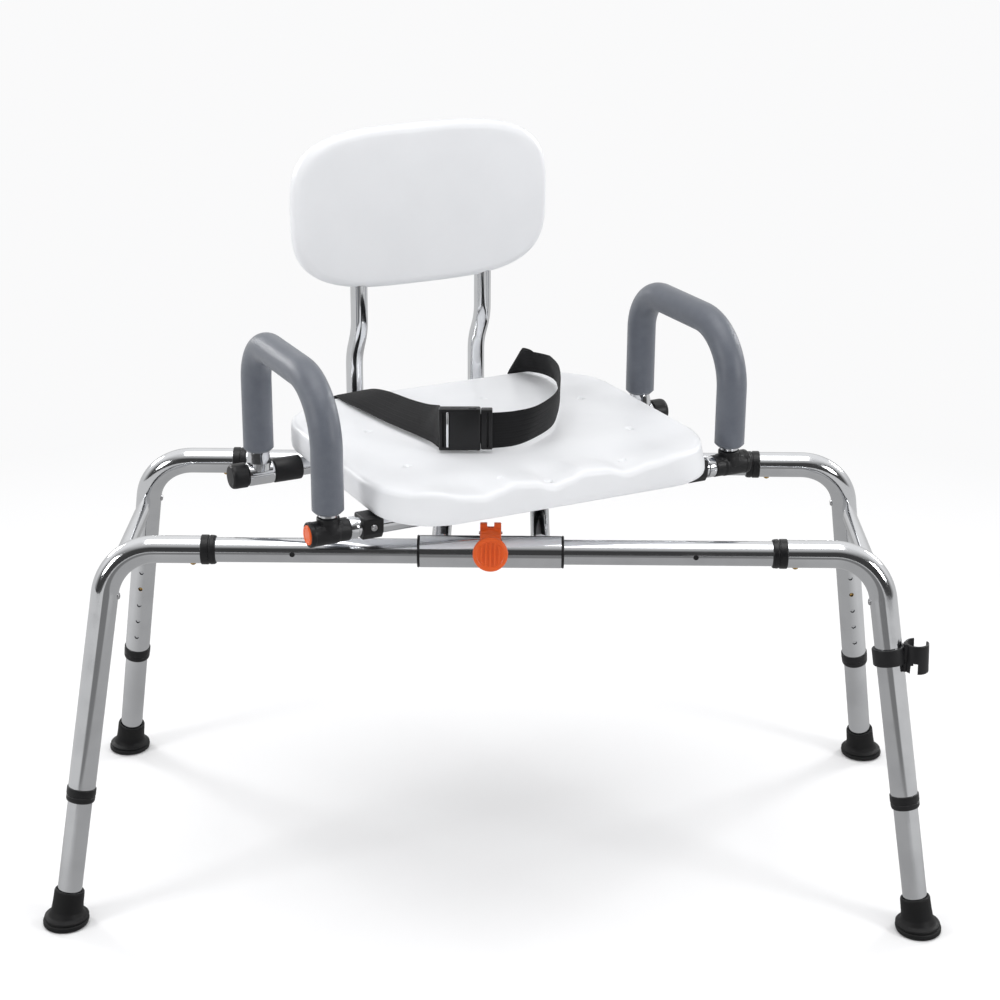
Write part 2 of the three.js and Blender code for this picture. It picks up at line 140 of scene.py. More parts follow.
class Net:
    def __init__(self, name):
        self.material = bpy.data.materials.new(name)
        self.material.use_nodes = True
        self.tree = self.material.node_tree
        self.shader = self.tree.nodes["Principled BSDF"]

    def add(self, kind, settings, values, out=0):
        node = self.tree.nodes.new(kind)
        for key, value in settings.items():
            if key == "stops":
                self.setStops(node.color_ramp, value)
            else:
                setattr(node, key, value)
        for key, value in values.items():
            self.feed(node.inputs[key], value)
        return Wire(self, node.outputs[out])

    def feed(self, socket, value):
        if isinstance(value, Wire):
            self.tree.links.new(value.socket, socket)
        else:
            socket.default_value = value

    def setStops(self, ramp, stops):
        while len(ramp.elements) < len(stops):
            ramp.elements.new(0.5)
        for element, (place, colour) in zip(ramp.elements, stops):
            element.position = place
            element.color = (*colour, 1)

    def coords(self):
        return self.add("ShaderNodeTexCoord", {}, {}, "Object")

    def noise(self, scale, detail=3, vector=None, roughness=0.5):
        place = vector or self.coords()
        return self.add("ShaderNodeTexNoise", {}, {"Vector": place, "Scale": scale, "Detail": detail,
                                                   "Roughness": roughness}, "Fac")

    def mixColour(self, factor, first, second):
        return self.add("ShaderNodeMix", {"data_type": "RGBA"}, {0: factor, 6: first, 7: second}, 2)

    def spread(self, value, low, high, outLow, outHigh):
        return self.add("ShaderNodeMapRange", {"clamp": True}, {0: value, 1: low, 2: high, 3: outLow,
                                                                4: outHigh})

    def bump(self, height, strength, distance):
        return self.add("ShaderNodeBump", {}, {"Height": height, "Strength": strength, "Distance": distance})

    def finish(self, values):
        for key, value in values.items():
            self.feed(self.shader.inputs[key], value)
        return self.material


def colour(red, green, blue):
    return (red, green, blue, 1)


# ---- finishes
chromeSettings = {"tint": colour(0.8, 0.81, 0.83), "haze": colour(0.7, 0.71, 0.73), "rough": (0.05, 0.13),
                  "smudgeScale": 26, "scratchScale": 900}


def chromeFinish(name, settings):
    net = Net(name)
    smudge = net.noise(settings["smudgeScale"], 4)
    fine = net.noise(settings["scratchScale"], 2)
    veil = net.spread(smudge, 0.42, 0.68, 0, 1)
    rough = settings["rough"][0] + veil * (settings["rough"][1] - settings["rough"][0]) + fine * 0.03
    return net.finish({"Base Color": net.mixColour(veil * 0.5, settings["tint"], settings["haze"]),
                       "Metallic": 1.0, "Roughness": rough, "Normal": net.bump(fine, 0.03, 0.0002)})


polishedSettings = {"tint": colour(0.77, 0.78, 0.8), "haze": colour(0.66, 0.67, 0.69), "rough": (0.09, 0.19),
                    "smudgeScale": 18, "scratchScale": 700}

plasticSettings = {"black": {"base": colour(0.008, 0.008, 0.009), "worn": colour(0.02, 0.02, 0.022),
                             "rough": (0.34, 0.5), "grain": 1500, "bump": 0.12, "shine": 0.35},
                   "orange": {"base": colour(0.74, 0.105, 0.016), "worn": colour(0.8, 0.155, 0.035),
                              "rough": (0.3, 0.42), "grain": 1300, "bump": 0.08, "shine": 0.4},
                   "white": {"base": colour(0.8, 0.81, 0.83), "worn": colour(0.74, 0.75, 0.77),
                             "rough": (0.34, 0.46), "grain": 900, "bump": 0.1, "shine": 0.45},
                   "rubber": {"base": colour(0.006, 0.006, 0.0065), "worn": colour(0.016, 0.016, 0.016),
                              "rough": (0.5, 0.72), "grain": 700, "bump": 0.25, "shine": 0.25},
                   "steel": {"base": colour(0.014, 0.014, 0.015), "worn": colour(0.05, 0.05, 0.052),
                             "rough": (0.3, 0.5), "grain": 500, "bump": 0.15, "shine": 0.35}, }


def plasticFinish(name, settings):
    net = Net(name)
    grain = net.noise(settings["grain"], 3)
    cloud = net.noise(14, 4)
    veil = net.spread(cloud, 0.4, 0.7, 0, 1)
    rough = settings["rough"][0] + veil * (settings["rough"][1] - settings["rough"][0]) + (grain - 0.5) * 0.08
    return net.finish({"Base Color": net.mixColour(veil * 0.35, settings["base"], settings["worn"]),
                       "Roughness": rough, "Normal": net.bump(grain, settings["bump"], 0.0004),
                       "Specular IOR Level": settings["shine"]})


foamSettings = {"dark": colour(0.085, 0.096, 0.12), "light": colour(0.135, 0.148, 0.175), "cell": 1400,
                "skin": 90, "rough": (0.3, 0.44)}


def foamFinish(name, settings):
    net = Net(name)
    place = net.coords()
    cells = net.add("ShaderNodeTexVoronoi", {"feature": "F1"}, {"Vector": place, "Scale": settings["cell"]},
                    "Distance")
    skin = net.noise(settings["skin"], 5)
    cloud = net.noise(12, 3)
    rough = settings["rough"][0] + cloud * (settings["rough"][1] - settings["rough"][0])
    height = cells * 0.6 + skin * 0.5
    return net.finish({"Base Color": net.mixColour(skin * 0.7 + cells * 0.3, settings["dark"],
                                                   settings["light"]), "Roughness": rough,
                       "Normal": net.bump(height, 0.35, 0.0006), "Sheen Weight": 0.15})


webSettings = {"thread": 0.0016, "rib": 0.0032, "dark": colour(0.004, 0.004, 0.0045),
               "light": colour(0.013, 0.013, 0.0145)}


def webFinish(name, settings):
    net = Net(name)
    place = net.add("ShaderNodeUVMap", {"uv_map": "strip"}, {})
    parts = net.add("ShaderNodeSeparateXYZ", {}, {0: place}, 0)
    run = parts
    across = Wire(net, parts.socket.node.outputs[1])
    ribs = across.maths("SINE", across * (2 * math.pi / settings["rib"]))
    slant = run + across.maths("ABSOLUTE", across.maths("PINGPONG", across, settings["rib"]))
    threads = slant.maths("SINE", slant * (2 * math.pi / settings["thread"]))
    fuzz = net.noise(1600, 3)
    height = (ribs * 0.5 + 0.5) * 0.3 + (threads * 0.5 + 0.5) * 0.5
    tone = height * 0.7 + fuzz * 0.3
    return net.finish({"Base Color": net.mixColour(tone, settings["dark"], settings["light"]),
                       "Roughness": 0.72 + fuzz * 0.2, "Normal": net.bump(height + fuzz * 0.3, 0.6, 0.0005),
                       "Specular IOR Level": 0.2, "Sheen Weight": 0.06})


def metalFinish(name, base, worn, rough):
    net = Net(name)
    cloud = net.noise(220, 3)
    return net.finish({"Base Color": net.mixColour(cloud, base, worn), "Metallic": 1.0,
                       "Roughness": rough + cloud * 0.12, "Normal": net.bump(cloud, 0.05, 0.0002)})


finishes = {
    "chrome": chromeFinish("brightChrome", chromeSettings),
    "polished_tube": chromeFinish("polishedTube", polishedSettings),
    "black_plastic": plasticFinish("mouldedBlack", plasticSettings["black"]),
    "orange_plastic": plasticFinish("mouldedOrange", plasticSettings["orange"]),
    "white_plastic": plasticFinish("blownWhite", plasticSettings["white"]),
    "rubber": plasticFinish("footRubber", plasticSettings["rubber"]),
    "black_steel": plasticFinish("coatedSteel", plasticSettings["steel"]),
    "foam": foamFinish("gripFoam", foamSettings),
    "webbing": webFinish("beltWeave", webSettings),
    "brass": metalFinish("brassPin", colour(0.72, 0.5, 0.22), colour(0.55, 0.36, 0.14), 0.18),
}
copperFinish = metalFinish("copperTip", colour(0.78, 0.36, 0.2), colour(0.6, 0.26, 0.13), 0.2)
screwFinish = metalFinish("screwSteel", colour(0.66, 0.66, 0.67), colour(0.5, 0.5, 0.51), 0.22)
for slotRow in frame["record"]["subparts"]:
    node = frame["nodes"][slotRow["node"]]
    node.data.materials.clear()
    node.data.materials.append(finishes[slotRow["material_slot"]])
print("finishes made:", len(finishes))


# ---- mesh making
def meshPiece(name, verts, faces):
    mesh = bpy.data.meshes.new(name)
    mesh.from_pydata([tuple(v) for v in verts], [], faces)
    work = bmesh.new()
    work.from_mesh(mesh)
    bmesh.ops.recalc_face_normals(work, faces=work.faces)
    work.to_mesh(mesh)
    work.free()
    return wrap(name, mesh)


def wrap(name, mesh, sharpDegrees=32):
    piece = bpy.data.objects.new(name, mesh)
    bpy.context.scene.collection.objects.link(piece)
    smooth(piece, sharpDegrees)
    return piece


def smooth(piece, sharpDegrees=32):
    piece.data.polygons.foreach_set("use_smooth", [True] * len(piece.data.polygons))
    piece.data.set_sharp_from_angle(angle=math.radians(sharpDegrees))


# Quads between loops of the same count; "joined" closes the last loop onto the first.
def skin(name, loops, joined=False):
    count = len(loops[0])
    verts = [point for loop in loops for point in loop]
    faces = []
    for i in range(len(loops) if joined else len(loops) - 1):
        here = i * count
        there = (i + 1) % len(loops) * count
        for k in range(count):
            after = (k + 1) % count
            faces.append((here + k, here + after, there + after, there + k))
    if not joined:
        faces.append(tuple(range(count)))
        faces.append(tuple((len(loops) - 1) * count + k for k in range(count)))
    return meshPiece(name, verts, faces)


def sideways(direction):
    helper = zAxis if abs(direction.z) < 0.9 else xAxis
    first = helper.cross(direction).normalized()
    return first, direction.cross(first).normalized()


def circle(centre, first, second, radius, count):
    turns = [2 * math.pi * k / count for k in range(count)]
    return [centre + first * (radius * math.cos(t)) + second * (radius * math.sin(t)) for t in turns]


def bentPath(corners, radii, bendSteps=12):
    stations = [Vector(corners[0])]
    for i in range(1, len(corners) - 1):
        here = Vector(corners[i])
        incoming = (here - Vector(corners[i - 1])).normalized()
        outgoing = (Vector(corners[i + 1]) - here).normalized()
        turn = incoming.angle(outgoing)
        radius = radii[i - 1]
        start = here - incoming * (radius * math.tan(turn / 2))
        side = (outgoing - incoming * outgoing.dot(incoming)).normalized()
        centre = start + side * radius
        for k in range(bendSteps + 1):
            angle = turn * k / bendSteps
            stations.append(centre
                            - side * (radius * math.cos(angle)) + incoming * (radius * math.sin(angle)))
    stations.append(Vector(corners[-1]))
    return stations


# Point, tangent and two sideways directions at each station, carried along without twist.
def framesAlong(points):
    frames = []
    first = None
    for i, point in enumerate(points):
        before = points[max(i - 1, 0)]
        after = points[min(i + 1, len(points) - 1)]
        tangent = ((point - before).normalized() + (after - point).normalized()).normalized()
        first = sideways(tangent)[0] if first is None else (first - tangent * first.dot(tangent)).normalized()
        frames.append((point, tangent, first, tangent.cross(first)))
    return frames


def tube(name, points, radius, bore=0.0, count=40, chamfer=0.0007):
    frames = framesAlong(points)
    frontPoint, frontTangent, u, v = frames[0]
    backPoint, backTangent, p, q = frames[-1]
    outer = [circle(frontPoint, u, v, radius - chamfer, count),
             circle(frontPoint + frontTangent * chamfer, u, v, radius, count)]
    outer += [circle(a, c, d, radius, count) for a, b, c, d in frames[1:-1]]
    outer += [circle(backPoint - backTangent * chamfer, p, q, radius, count),
              circle(backPoint, p, q, radius - chamfer, count)]
    if bore <= 0:
        return skin(name, outer)
    inner = [circle(a, c, d, bore, count) for a, b, c, d in reversed(frames)]
    return skin(name, outer + inner, joined=True)


# Rounds the corners of a (radius, height) outline; a corner's own radius is its third value.
def roundOutline(outline, closed, steps=5):
    result = []
    total = len(outline)
    for i, corner in enumerate(outline):
        here = Vector((corner[0], corner[1]))
        radius = corner[2] if len(corner) > 2 else 0
        if radius <= 0 or (not closed and i in (0, total - 1)):
            result.append(here)
            continue
        before = Vector(outline[i - 1][:2])
        after = Vector(outline[(i + 1) % total][:2])
        incoming = (here - before).normalized()
        outgoing = (after - here).normalized()
        turn = incoming.angle(outgoing)
        reach = radius * math.tan(turn / 2)
        start = here - incoming * reach
        side = (outgoing - incoming * outgoing.dot(incoming)).normalized()
        centre = start + side * radius
        for k in range(steps + 1):
            angle = turn * k / steps
            result.append(centre - side * (radius * math.cos(angle)) + incoming * (radius * math.sin(angle)))
    return result


# A body of revolution about the line from "base" along "axis"; "joined" makes it a ring.
def turned(name, outline, base, axis, joined=False, count=48):
    first, second = sideways(axis)
    points = roundOutline(outline, joined)
    loops = [circle(base + axis * p.y, first, second, max(p.x, 0.0002), count) for p in points]
    return skin(name, loops, joined)


# A box with rounded edges, turned by "basis" (a 3x3 of its own axes) and placed at "centre".
def roundedBox(name, size, centre, edge=0.001, basis=None, segments=3):
    work = bmesh.new()
    bmesh.ops.create_cube(work, size=1)
    bmesh.ops.scale(work, vec=Vector(size), verts=work.verts)
    bmesh.ops.bevel(work, geom=work.edges[:], offset=edge, segments=segments, profile=0.5, affect="EDGES")
    place = Matrix.Translation(centre) @ (basis.to_4x4() if basis else Matrix.Identity(4))
    bmesh.ops.transform(work, matrix=place, verts=work.verts)
    mesh = bpy.data.meshes.new(name)
    work.to_mesh(mesh)
    work.free()
    return wrap(name, mesh)


# Extrudes a closed outline of points through "depth" and rounds the two rims.
def extruded(name, outline, origin, first, second, depth, edge=0.0008, steps=3):
    normal = first.cross(second)
    centre = sum(outline, Vector((0, 0))) / len(outline)
    loops = []
    for k in range(steps + 1):
        loops.append((-edge * (1 - math.sin(math.pi / 2 * k / steps)),
                      edge * (1 - math.cos(math.pi / 2 * k / steps))))
    rims = [(inset, height) for inset, height in loops]
    rims += [(inset, depth - height) for inset, height in reversed(loops)]
    rings = []
    for inset, height in rims:
        ring = []
        total = len(outline)
        for i, point in enumerate(outline):
            incoming = (point - outline[i - 1]).normalized()
            outgoing = (outline[(i + 1) % total] - point).normalized()
            outward = Vector((incoming.y + outgoing.y, -incoming.x - outgoing.x))
            if outward.length > 0:
                outward.normalize()
            if outward.dot(point - centre) < 0 and isClockwise(outline):
                outward.negate()
            moved = point + outward * inset
            ring.append(origin + first * moved.x + second * moved.y + normal * height)
        rings.append(ring)
    return skin(name, rings)


def isClockwise(outline):
    area = sum(a.x * b.y - b.x * a.y for a, b in zip(outline, outline[1:] + outline[:1]))
    return area < 0


def carve(piece, tools, operation="DIFFERENCE", sharpDegrees=32):
    for tool in tools:
        change = piece.modifiers.new("change", "BOOLEAN")
        change.object = tool
        change.operation = operation
        change.solver = "EXACT"
    bpy.context.view_layer.update()
    graph = bpy.context.evaluated_depsgraph_get()
    result = bpy.data.meshes.new_from_object(piece.evaluated_get(graph))
    piece.modifiers.clear()
    piece.data = result
    for tool in tools:
        bpy.data.objects.remove(tool)
    smooth(piece, sharpDegrees)
    return piece


def unite(piece, others):
    return carve(piece, others, "UNION")


# Puts a piece on its body, with its finish, in place of the nodes it stands for.
def settle(piece, body, slotName, nodes=(), space=None, finish=None):
    if space is not None:
        piece.data.transform(space)
    piece.data.materials.clear()
    piece.data.materials.append(finish or finishes[slotName])
    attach(piece, body)
    if nodes:
        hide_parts(*nodes)
    return piece


screwSettings = {"radius": 0.0042, "height": 0.0022, "slot": 0.0009}


def screwHead(name, at, axis, body, slotName="chrome", space=None, scale=1.0):
    radius = screwSettings["radius"] * scale
    height = screwSettings["height"] * scale
    head = turned(name, [(0.0002, -0.001), (radius, -0.001), (radius, height * 0.4, radius * 0.2),
                         (radius * 0.7, height, radius * 0.3), (0.0002, height)], at, axis, count=28)
    first, second = sideways(axis)
    basis = Matrix((first, second, axis)).transposed()
    cross = [roundedBox("slotTool", (radius * 1.3, screwSettings["slot"], height), at + axis * height, 0.0001,
                        basis @ Matrix.Rotation(turn, 3, "Z")) for turn in (0, math.pi / 2)]
    carve(head, cross)
    return settle(head, body, slotName, space=space, finish=screwFinish)


# ---- camera, floor and light
cameraSettings = {"place": Vector((0.017, -2.4633, 1.3732)), "pitch": 0.3577, "yaw": 0.0046, "lens": 78.13,
                  "roll": 0.006}
camera = bpy.data.objects.new("camera", bpy.data.cameras.new("camera"))
bpy.context.scene.collection.objects.link(camera)
camera.data.lens = cameraSettings["lens"]
camera.data.sensor_width = 36
camera.location = cameraSettings["place"]
aim = Matrix.Rotation(cameraSettings["yaw"], 4,
                      "Z") @ Matrix.Rotation(math.pi / 2 - cameraSettings["pitch"], 4, "X")
camera.rotation_euler = (aim @ Matrix.Rotation(cameraSettings["roll"], 4, "Z")).to_euler()
bpy.context.scene.camera = camera
bpy.context.scene.view_settings.view_transform = "Standard"

# The floor's near, side and front tones are painted reflection tones: painted shade that glossy rays see instead
# of the pale floor.
studioSettings = {"floorHalf": 14, "floorTone": colour(0.93, 0.93, 0.935), "paintedNearShade": 0.4,
                  "paintedSideTone": 0.62, "paintedFrontShade": 0.2, "darkStart": -1.05, "darkSoft": 0.25, "darkHalf": 0.75,
                  "horizonTone": 0.05, "frontTone": 0.62, "backTone": 0.92, "ambient": 0.5, "shown": 0.97,
                  "paperFrom": 0.55, "paperTo": 1.7}


# The floor is pale; for glossy rays it glows instead with a painted reflection tone: painted shade near the bench,
# a little lighter to the sides, and a dark painted front part, as the unlit side of a studio shows in polished
# metal.
def makeFloor(settings):
    half = settings["floorHalf"]
    floor = meshPiece("floor", [(-half, -half, 0), (half, -half, 0), (half, half, 0), (-half, half, 0)],
                      [(0, 1, 2, 3)])
    net = Net("floorPaper")
    net.finish({"Base Color": settings["floorTone"], "Roughness": 0.9, "Specular IOR Level": 0.1})
    place = net.coords()
    depth = net.add("ShaderNodeSeparateXYZ", {}, {0: place}, 1)
    width = Wire(net, depth.socket.node.outputs[0])
    far = net.spread(depth, settings["darkStart"] - settings["darkSoft"], settings["darkStart"], 1, 0)
    middle = net.spread(width.maths("ABSOLUTE", width), settings["darkHalf"], settings["darkHalf"] * 1.5, 1,
                        0)
    pale = net.spread(width.maths("ABSOLUTE", width), 0.4, 0.9, settings["paintedNearShade"], settings["paintedSideTone"])
    tone = pale + far * middle * (settings["paintedFrontShade"] - pale)
    # Painted reflection: the floor emits this painted shade tone to glossy rays only, darker than its own colour.
    mirrored = net.add("ShaderNodeEmission", {}, {"Color": tone, "Strength": 1.0})
    path = net.add("ShaderNodeLightPath", {}, {}, "Is Glossy Ray")
    reach = net.add("ShaderNodeVectorMath", {"operation": "LENGTH"}, {0: place}, "Value")
    away = net.spread(reach, settings["paperFrom"], settings["paperTo"], 0, 1)
    seen = Wire(net, path.socket.node.outputs["Is Camera Ray"])
    paper = net.add("ShaderNodeEmission", {},
                    {"Color": (0.985, 0.985, 0.99, 1), "Strength": settings["shown"]})
    lit = net.add("ShaderNodeMixShader", {}, {0: away * seen, 1: Wire(net, net.shader.outputs[0]), 2: paper})
    both = net.add("ShaderNodeMixShader", {}, {0: path, 1: lit, 2: mirrored})
    net.tree.links.new(both.socket, net.tree.nodes["Material Output"].inputs["Surface"])
    floor.data.materials.append(net.material)
    return floor


def areaLight(name, place, target, size, power, tone=(1, 1, 1)):
    data = bpy.data.lights.new(name, "AREA")
    data.shape = "RECTANGLE"
    data.size = size[0]
    data.size_y = size[1]
    data.energy = power
    data.color = tone
    light = bpy.data.objects.new(name, data)
    light.location = place
    light.rotation_euler = (Vector(target) - Vector(place)).to_track_quat("-Z", "Y").to_euler()
    bpy.context.scene.collection.objects.link(light)
    return light


# Near white behind the bench; in polished metal the front is dark near the horizon and the rest is pale.
def makeWorld(settings):
    world = bpy.data.worlds.new("studio")
    bpy.context.scene.world = world
    world.use_nodes = True
    net = Net.__new__(Net)
    net.tree = world.node_tree
    plain = net.tree.nodes["Background"]
    plain.inputs["Color"].default_value = (0.97, 0.97, 0.975, 1)
    plain.inputs["Strength"].default_value = settings["ambient"]
    direction = net.add("ShaderNodeTexCoord", {}, {}, "Generated")
    height = net.add("ShaderNodeSeparateXYZ", {}, {0: direction}, 2)
    depth = Wire(net, height.socket.node.outputs[1])
    frontSky = net.spread(height, 0.52, 0.82, settings["horizonTone"], settings["frontTone"])
    backSky = net.spread(height, 0.0, 0.5, 0.6, settings["backTone"])
    towardsBack = net.spread(depth, -0.35, 0.15, 0, 1)
    tone = frontSky + towardsBack * (backSky - frontSky)
    mirrored = net.add("ShaderNodeBackground", {}, {"Color": tone, "Strength": 1.0})
    glossy = net.add("ShaderNodeLightPath", {}, {}, "Is Glossy Ray")
    both = net.add("ShaderNodeMixShader", {}, {0: glossy, 1: Wire(net, plain.outputs[0]), 2: mirrored})
    shown = net.add("ShaderNodeBackground", {},
                    {"Color": (0.99, 0.99, 0.995, 1), "Strength": settings["shown"]})
    seen = Wire(net, glossy.socket.node.outputs["Is Camera Ray"])
    total = net.add("ShaderNodeMixShader", {}, {0: seen, 1: both, 2: shown})
    net.tree.links.new(total.socket, net.tree.nodes["World Output"].inputs["Surface"])


makeFloor(studioSettings)
makeWorld(studioSettings)
areaLight("frontLeftLight", (-2.5, -1.5, 1.5), (0, 0, 0.35), (0.7, 0.9), 22)
areaLight("frontRightLight", (2.5, -1.5, 1.5), (0, 0, 0.35), (0.7, 0.9), 25)
areaLight("rearLeftLight", (-2.4, 1.7, 1.5), (0, 0, 0.35), (0.7, 0.7), 22)
areaLight("rearRightLight", (2.4, 1.7, 1.5), (0, 0, 0.35), (0.7, 0.7), 22)
areaLight("topLight", (0.0, -0.2, 3.2), (0, 0.1, 0.4), (2.6, 2.2), 44)
print("camera, floor and light made")


# ---- base frame
tubeSizes = {"outer": 0.0159, "outerBore": 0.0149, "inner": 0.0143, "innerBore": 0.0129, "bend": 0.06,
             "legCollar": 0.163, "button": 0.271, "pitch": 0.0254, "holesBelow": 3, "hole": 0.003,
             "legTop": 0.355, "legFoot": 0.0252, "collarIn": 0.005}
collarSizes = {"radius": 0.0172, "width": 0.017, "lip": 0.0036, "edge": 0.0011, "gap": 0.0004}


def legHole(leg, distance, radius):
    start = along(leg, distance) + leg["inward"] * 0.006
    return tube("holeTool", [start, start + leg["inward"] * 0.014], radius, count=24, chamfer=0.0001)


def railButtonX(leg):
    return middleOf("rail_collar_" + leg["name"]).x + leg["sx"] * 0.0188


def railButtonTool(leg):
    x = railButtonX(leg)
    return tube("holeTool", [Vector((x, leg["top"].y, railZ - 0.02)),
                             Vector((x, leg["top"].y, railZ - 0.006))], 0.0041, count=24, chamfer=0.0001)


def makeEndTube(leg):
    start = Vector((middleOf("rail_collar_" + leg["name"]).x - leg["sx"] * 0.0045, leg["top"].y, railZ))
    low = along(leg, tubeSizes["legCollar"] - tubeSizes["collarIn"])
    path = bentPath([start, leg["top"], low], [tubeSizes["bend"]], 18)
    piece = tube("endTube_" + leg["name"], path, tubeSizes["outer"], tubeSizes["outerBore"], 48)
    places = [tubeSizes["button"] + tubeSizes["pitch"] * (1 - k) for k in range(tubeSizes["holesBelow"] + 2)]
    carve(piece, [legHole(leg, s, tubeSizes["hole"]) for s in places] + [railButtonTool(leg)])
    settle(piece, "root", "chrome", ["end_tube_" + leg["name"]])


def makeCollar(name, tubeEnd, axis, node):
    sizes = collarSizes
    base = tubeEnd - axis * (sizes["lip"] + sizes["gap"])
    edge = sizes["edge"]
    outline = [(tubeSizes["inner"] + 0.00012, 0, 0.0003), (sizes["radius"] - 0.0012, 0, edge),
               (sizes["radius"] - 0.0004, 0.0022, 0.0008), (sizes["radius"] - 0.0002, 0.0062, 0.0006),
               (sizes["radius"] - 0.0009, 0.0068, 0.0003), (sizes["radius"] - 0.0009, 0.008, 0.0003),
               (sizes["radius"], 0.0086, 0.0005), (sizes["radius"], sizes["width"], edge),
               (tubeSizes["outer"] + 0.0001, sizes["width"], 0.0004),
               (tubeSizes["outer"] + 0.0001, sizes["lip"]), (tubeSizes["inner"] + 0.00012, sizes["lip"])]
    ring = turned(name, outline, base, axis, joined=True, count=56)
    settle(ring, "root", "black_plastic", [node])


def makeInnerRail(end):
    low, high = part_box("inner_rail_" + end)
    y = (low.y + high.y) / 2
    rail = tube("innerRail_" + end, [Vector((low.x, y, railZ)), Vector((high.x, y, railZ))],
                tubeSizes["inner"], tubeSizes["innerBore"], 48)
    tools = [railButtonTool(leg) for leg in legs if leg["name"].startswith(end)]
    if end == "front":
        reaches = [middleX + place for place in joints["carriage_slide"]["range_m"]]
        for x in reaches:
            tools.append(tube("holeTool", [Vector((x, y - 0.006, railZ)), Vector((x, y - 0.02, railZ))],
                              0.0031, count=24, chamfer=0.0001))
    carve(rail, tools)
    settle(rail, "root", "polished_tube", ["inner_rail_" + end])
    if end == "front":
        for (side, sx), x in zip(sides, reaches):
            cup = turned("lockHoleCup_" + side, [(0.0005, 0), (0.003, 0, 0.0002), (0.003, 0.0012),
                                                 (0.0005, 0.0012)], Vector((x, y - 0.0122, railZ)), -yAxis,
                         count=24)
            settle(cup, "root", "black_plastic")


buttonSizes = {"legRadius": 0.0029, "railRadius": 0.0036, "leafWide": 0.006, "leafThick": 0.0008,
               "leafLong": 0.034}


def makeSnapButton(name, base, press, run, radius, reach, body, node):
    outline = [(0.0002, -0.0072), (radius, -0.0072), (radius, -radius * 0.45, radius * 0.35),
               (radius * 0.45, 0, radius * 0.4), (0.0002, 0)]
    pin = turned(name, outline, base + press * reach, press, count=32)
    across = run.cross(press).normalized()
    basis = Matrix((across, press, run)).transposed()
    leafAt = base + press * (reach - 0.0072) + run * 0.013
    leaf = roundedBox("leaf", (buttonSizes["leafWide"], buttonSizes["leafThick"], buttonSizes["leafLong"]),
                      leafAt, 0.0003, basis)
    unite(pin, [leaf])
    settle(pin, body, "brass", [node])


def makeInnerLeg(leg):
    piece = tube("innerLeg_" + leg["name"], [along(leg, tubeSizes["legFoot"]), along(leg,
                                                                                     tubeSizes["legTop"])],
                 tubeSizes["inner"], tubeSizes["innerBore"], 48)
    carve(piece, [legHole(leg, tubeSizes["button"], tubeSizes["hole"])])
    settle(piece, "leg_" + leg["name"], "polished_tube", ["inner_leg_" + leg["name"]])


# (radius, height) up the outside of the foot, then down into its socket
footOutline = [(0.015, 0.0), (0.0245, 0.0, 0.001), (0.0266, 0.002, 0.0016), (0.0272, 0.0062, 0.001),
               (0.0262, 0.0074, 0.0005), (0.025, 0.0078, 0.0004), (0.025, 0.0086, 0.0004),
               (0.0264, 0.009, 0.0005), (0.0262, 0.0108, 0.0014), (0.0216, 0.0126, 0.003),
               (0.019, 0.0178, 0.004), (0.0181, 0.026, 0.004), (0.0177, 0.0398, 0.001),
               (0.017, 0.042, 0.0012), (0.0148, 0.042, 0.0008), (0.0146, 0.04), (0.0146, 0.0246)]


# Its base lies flat on the floor, and its socket leans with the leg.
def makeFoot(leg):
    loops = []
    for point in roundOutline(footOutline, False):
        lean = min(max((point.y - 0.01) / 0.016, 0), 1)
        axis = zAxis.lerp(leg["up"], lean).normalized()
        first, second = sideways(axis)
        loops.append(circle(along(leg, point.y / leg["up"].z), first, second, point.x, 56))
    foot = skin("foot_" + leg["name"] + "_rubber", loops)
    settle(foot, "leg_" + leg["name"], "rubber", ["foot_" + leg["name"]])


braceSizes = {"radius": 0.0095, "flatLong": 0.042, "flatHigh": 0.0125, "flatThick": 0.0042, "drop": 0.056}


# A tube crimped flat at both ends where it meets the legs.
def makeBrace(side, sx):
    front, rear = [leg for leg in legs if leg["sx"] == sx]
    s = front["length"] - braceSizes["drop"]
    a = along(front, s) + Vector((0, tubeSizes["outer"] * 0.96, 0))
    b = along(rear, s) - Vector((0, tubeSizes["outer"] * 0.96, 0))
    run = (b - a).length
    direction = (b - a).normalized()
    steps = [0, 0.004, 0.01, 0.016, 0.022, 0.028, 0.034, braceSizes["flatLong"]]
    places = steps + [run / 2] + [run - x for x in reversed(steps)]
    loops = []
    for place in places:
        fromEnd = min(place, run - place)
        blend = min(max((fromEnd - 0.01) / (braceSizes["flatLong"] - 0.01), 0), 1)
        blend = blend * blend * (3 - 2 * blend)
        high = braceSizes["flatHigh"] + (braceSizes["radius"] - braceSizes["flatHigh"]) * blend
        thick = braceSizes["flatThick"] + (braceSizes["radius"] - braceSizes["flatThick"]) * blend
        centre = a + direction * place
        turns = [2 * math.pi * k / 40 for k in range(40)]
        loops.append([centre + xAxis * (thick * math.cos(t)) + zAxis * (high * math.sin(t)) for t in turns])
    settle(skin("brace_" + side + "_tube", loops), "root", "chrome", ["brace_" + side])
    for leg, toward in ((front, 1), (rear, -1)):
        at = along(leg, s) + Vector((-sx * tubeSizes["outer"] * 0.98, 0, 0))
        screwHead(f"braceRivet_{leg['name']}", at, xAxis * -sx, "root")


holderSizes = {"drop": 0.1295, "band": 0.02, "radius": 0.0196, "offset": Vector((0.0295, -0.006, -0.006)),
               "clipIn": 0.0112, "clipOut": 0.0139, "clipHigh": 0.034, "openFrom": 0.26, "openTo": 1.7}


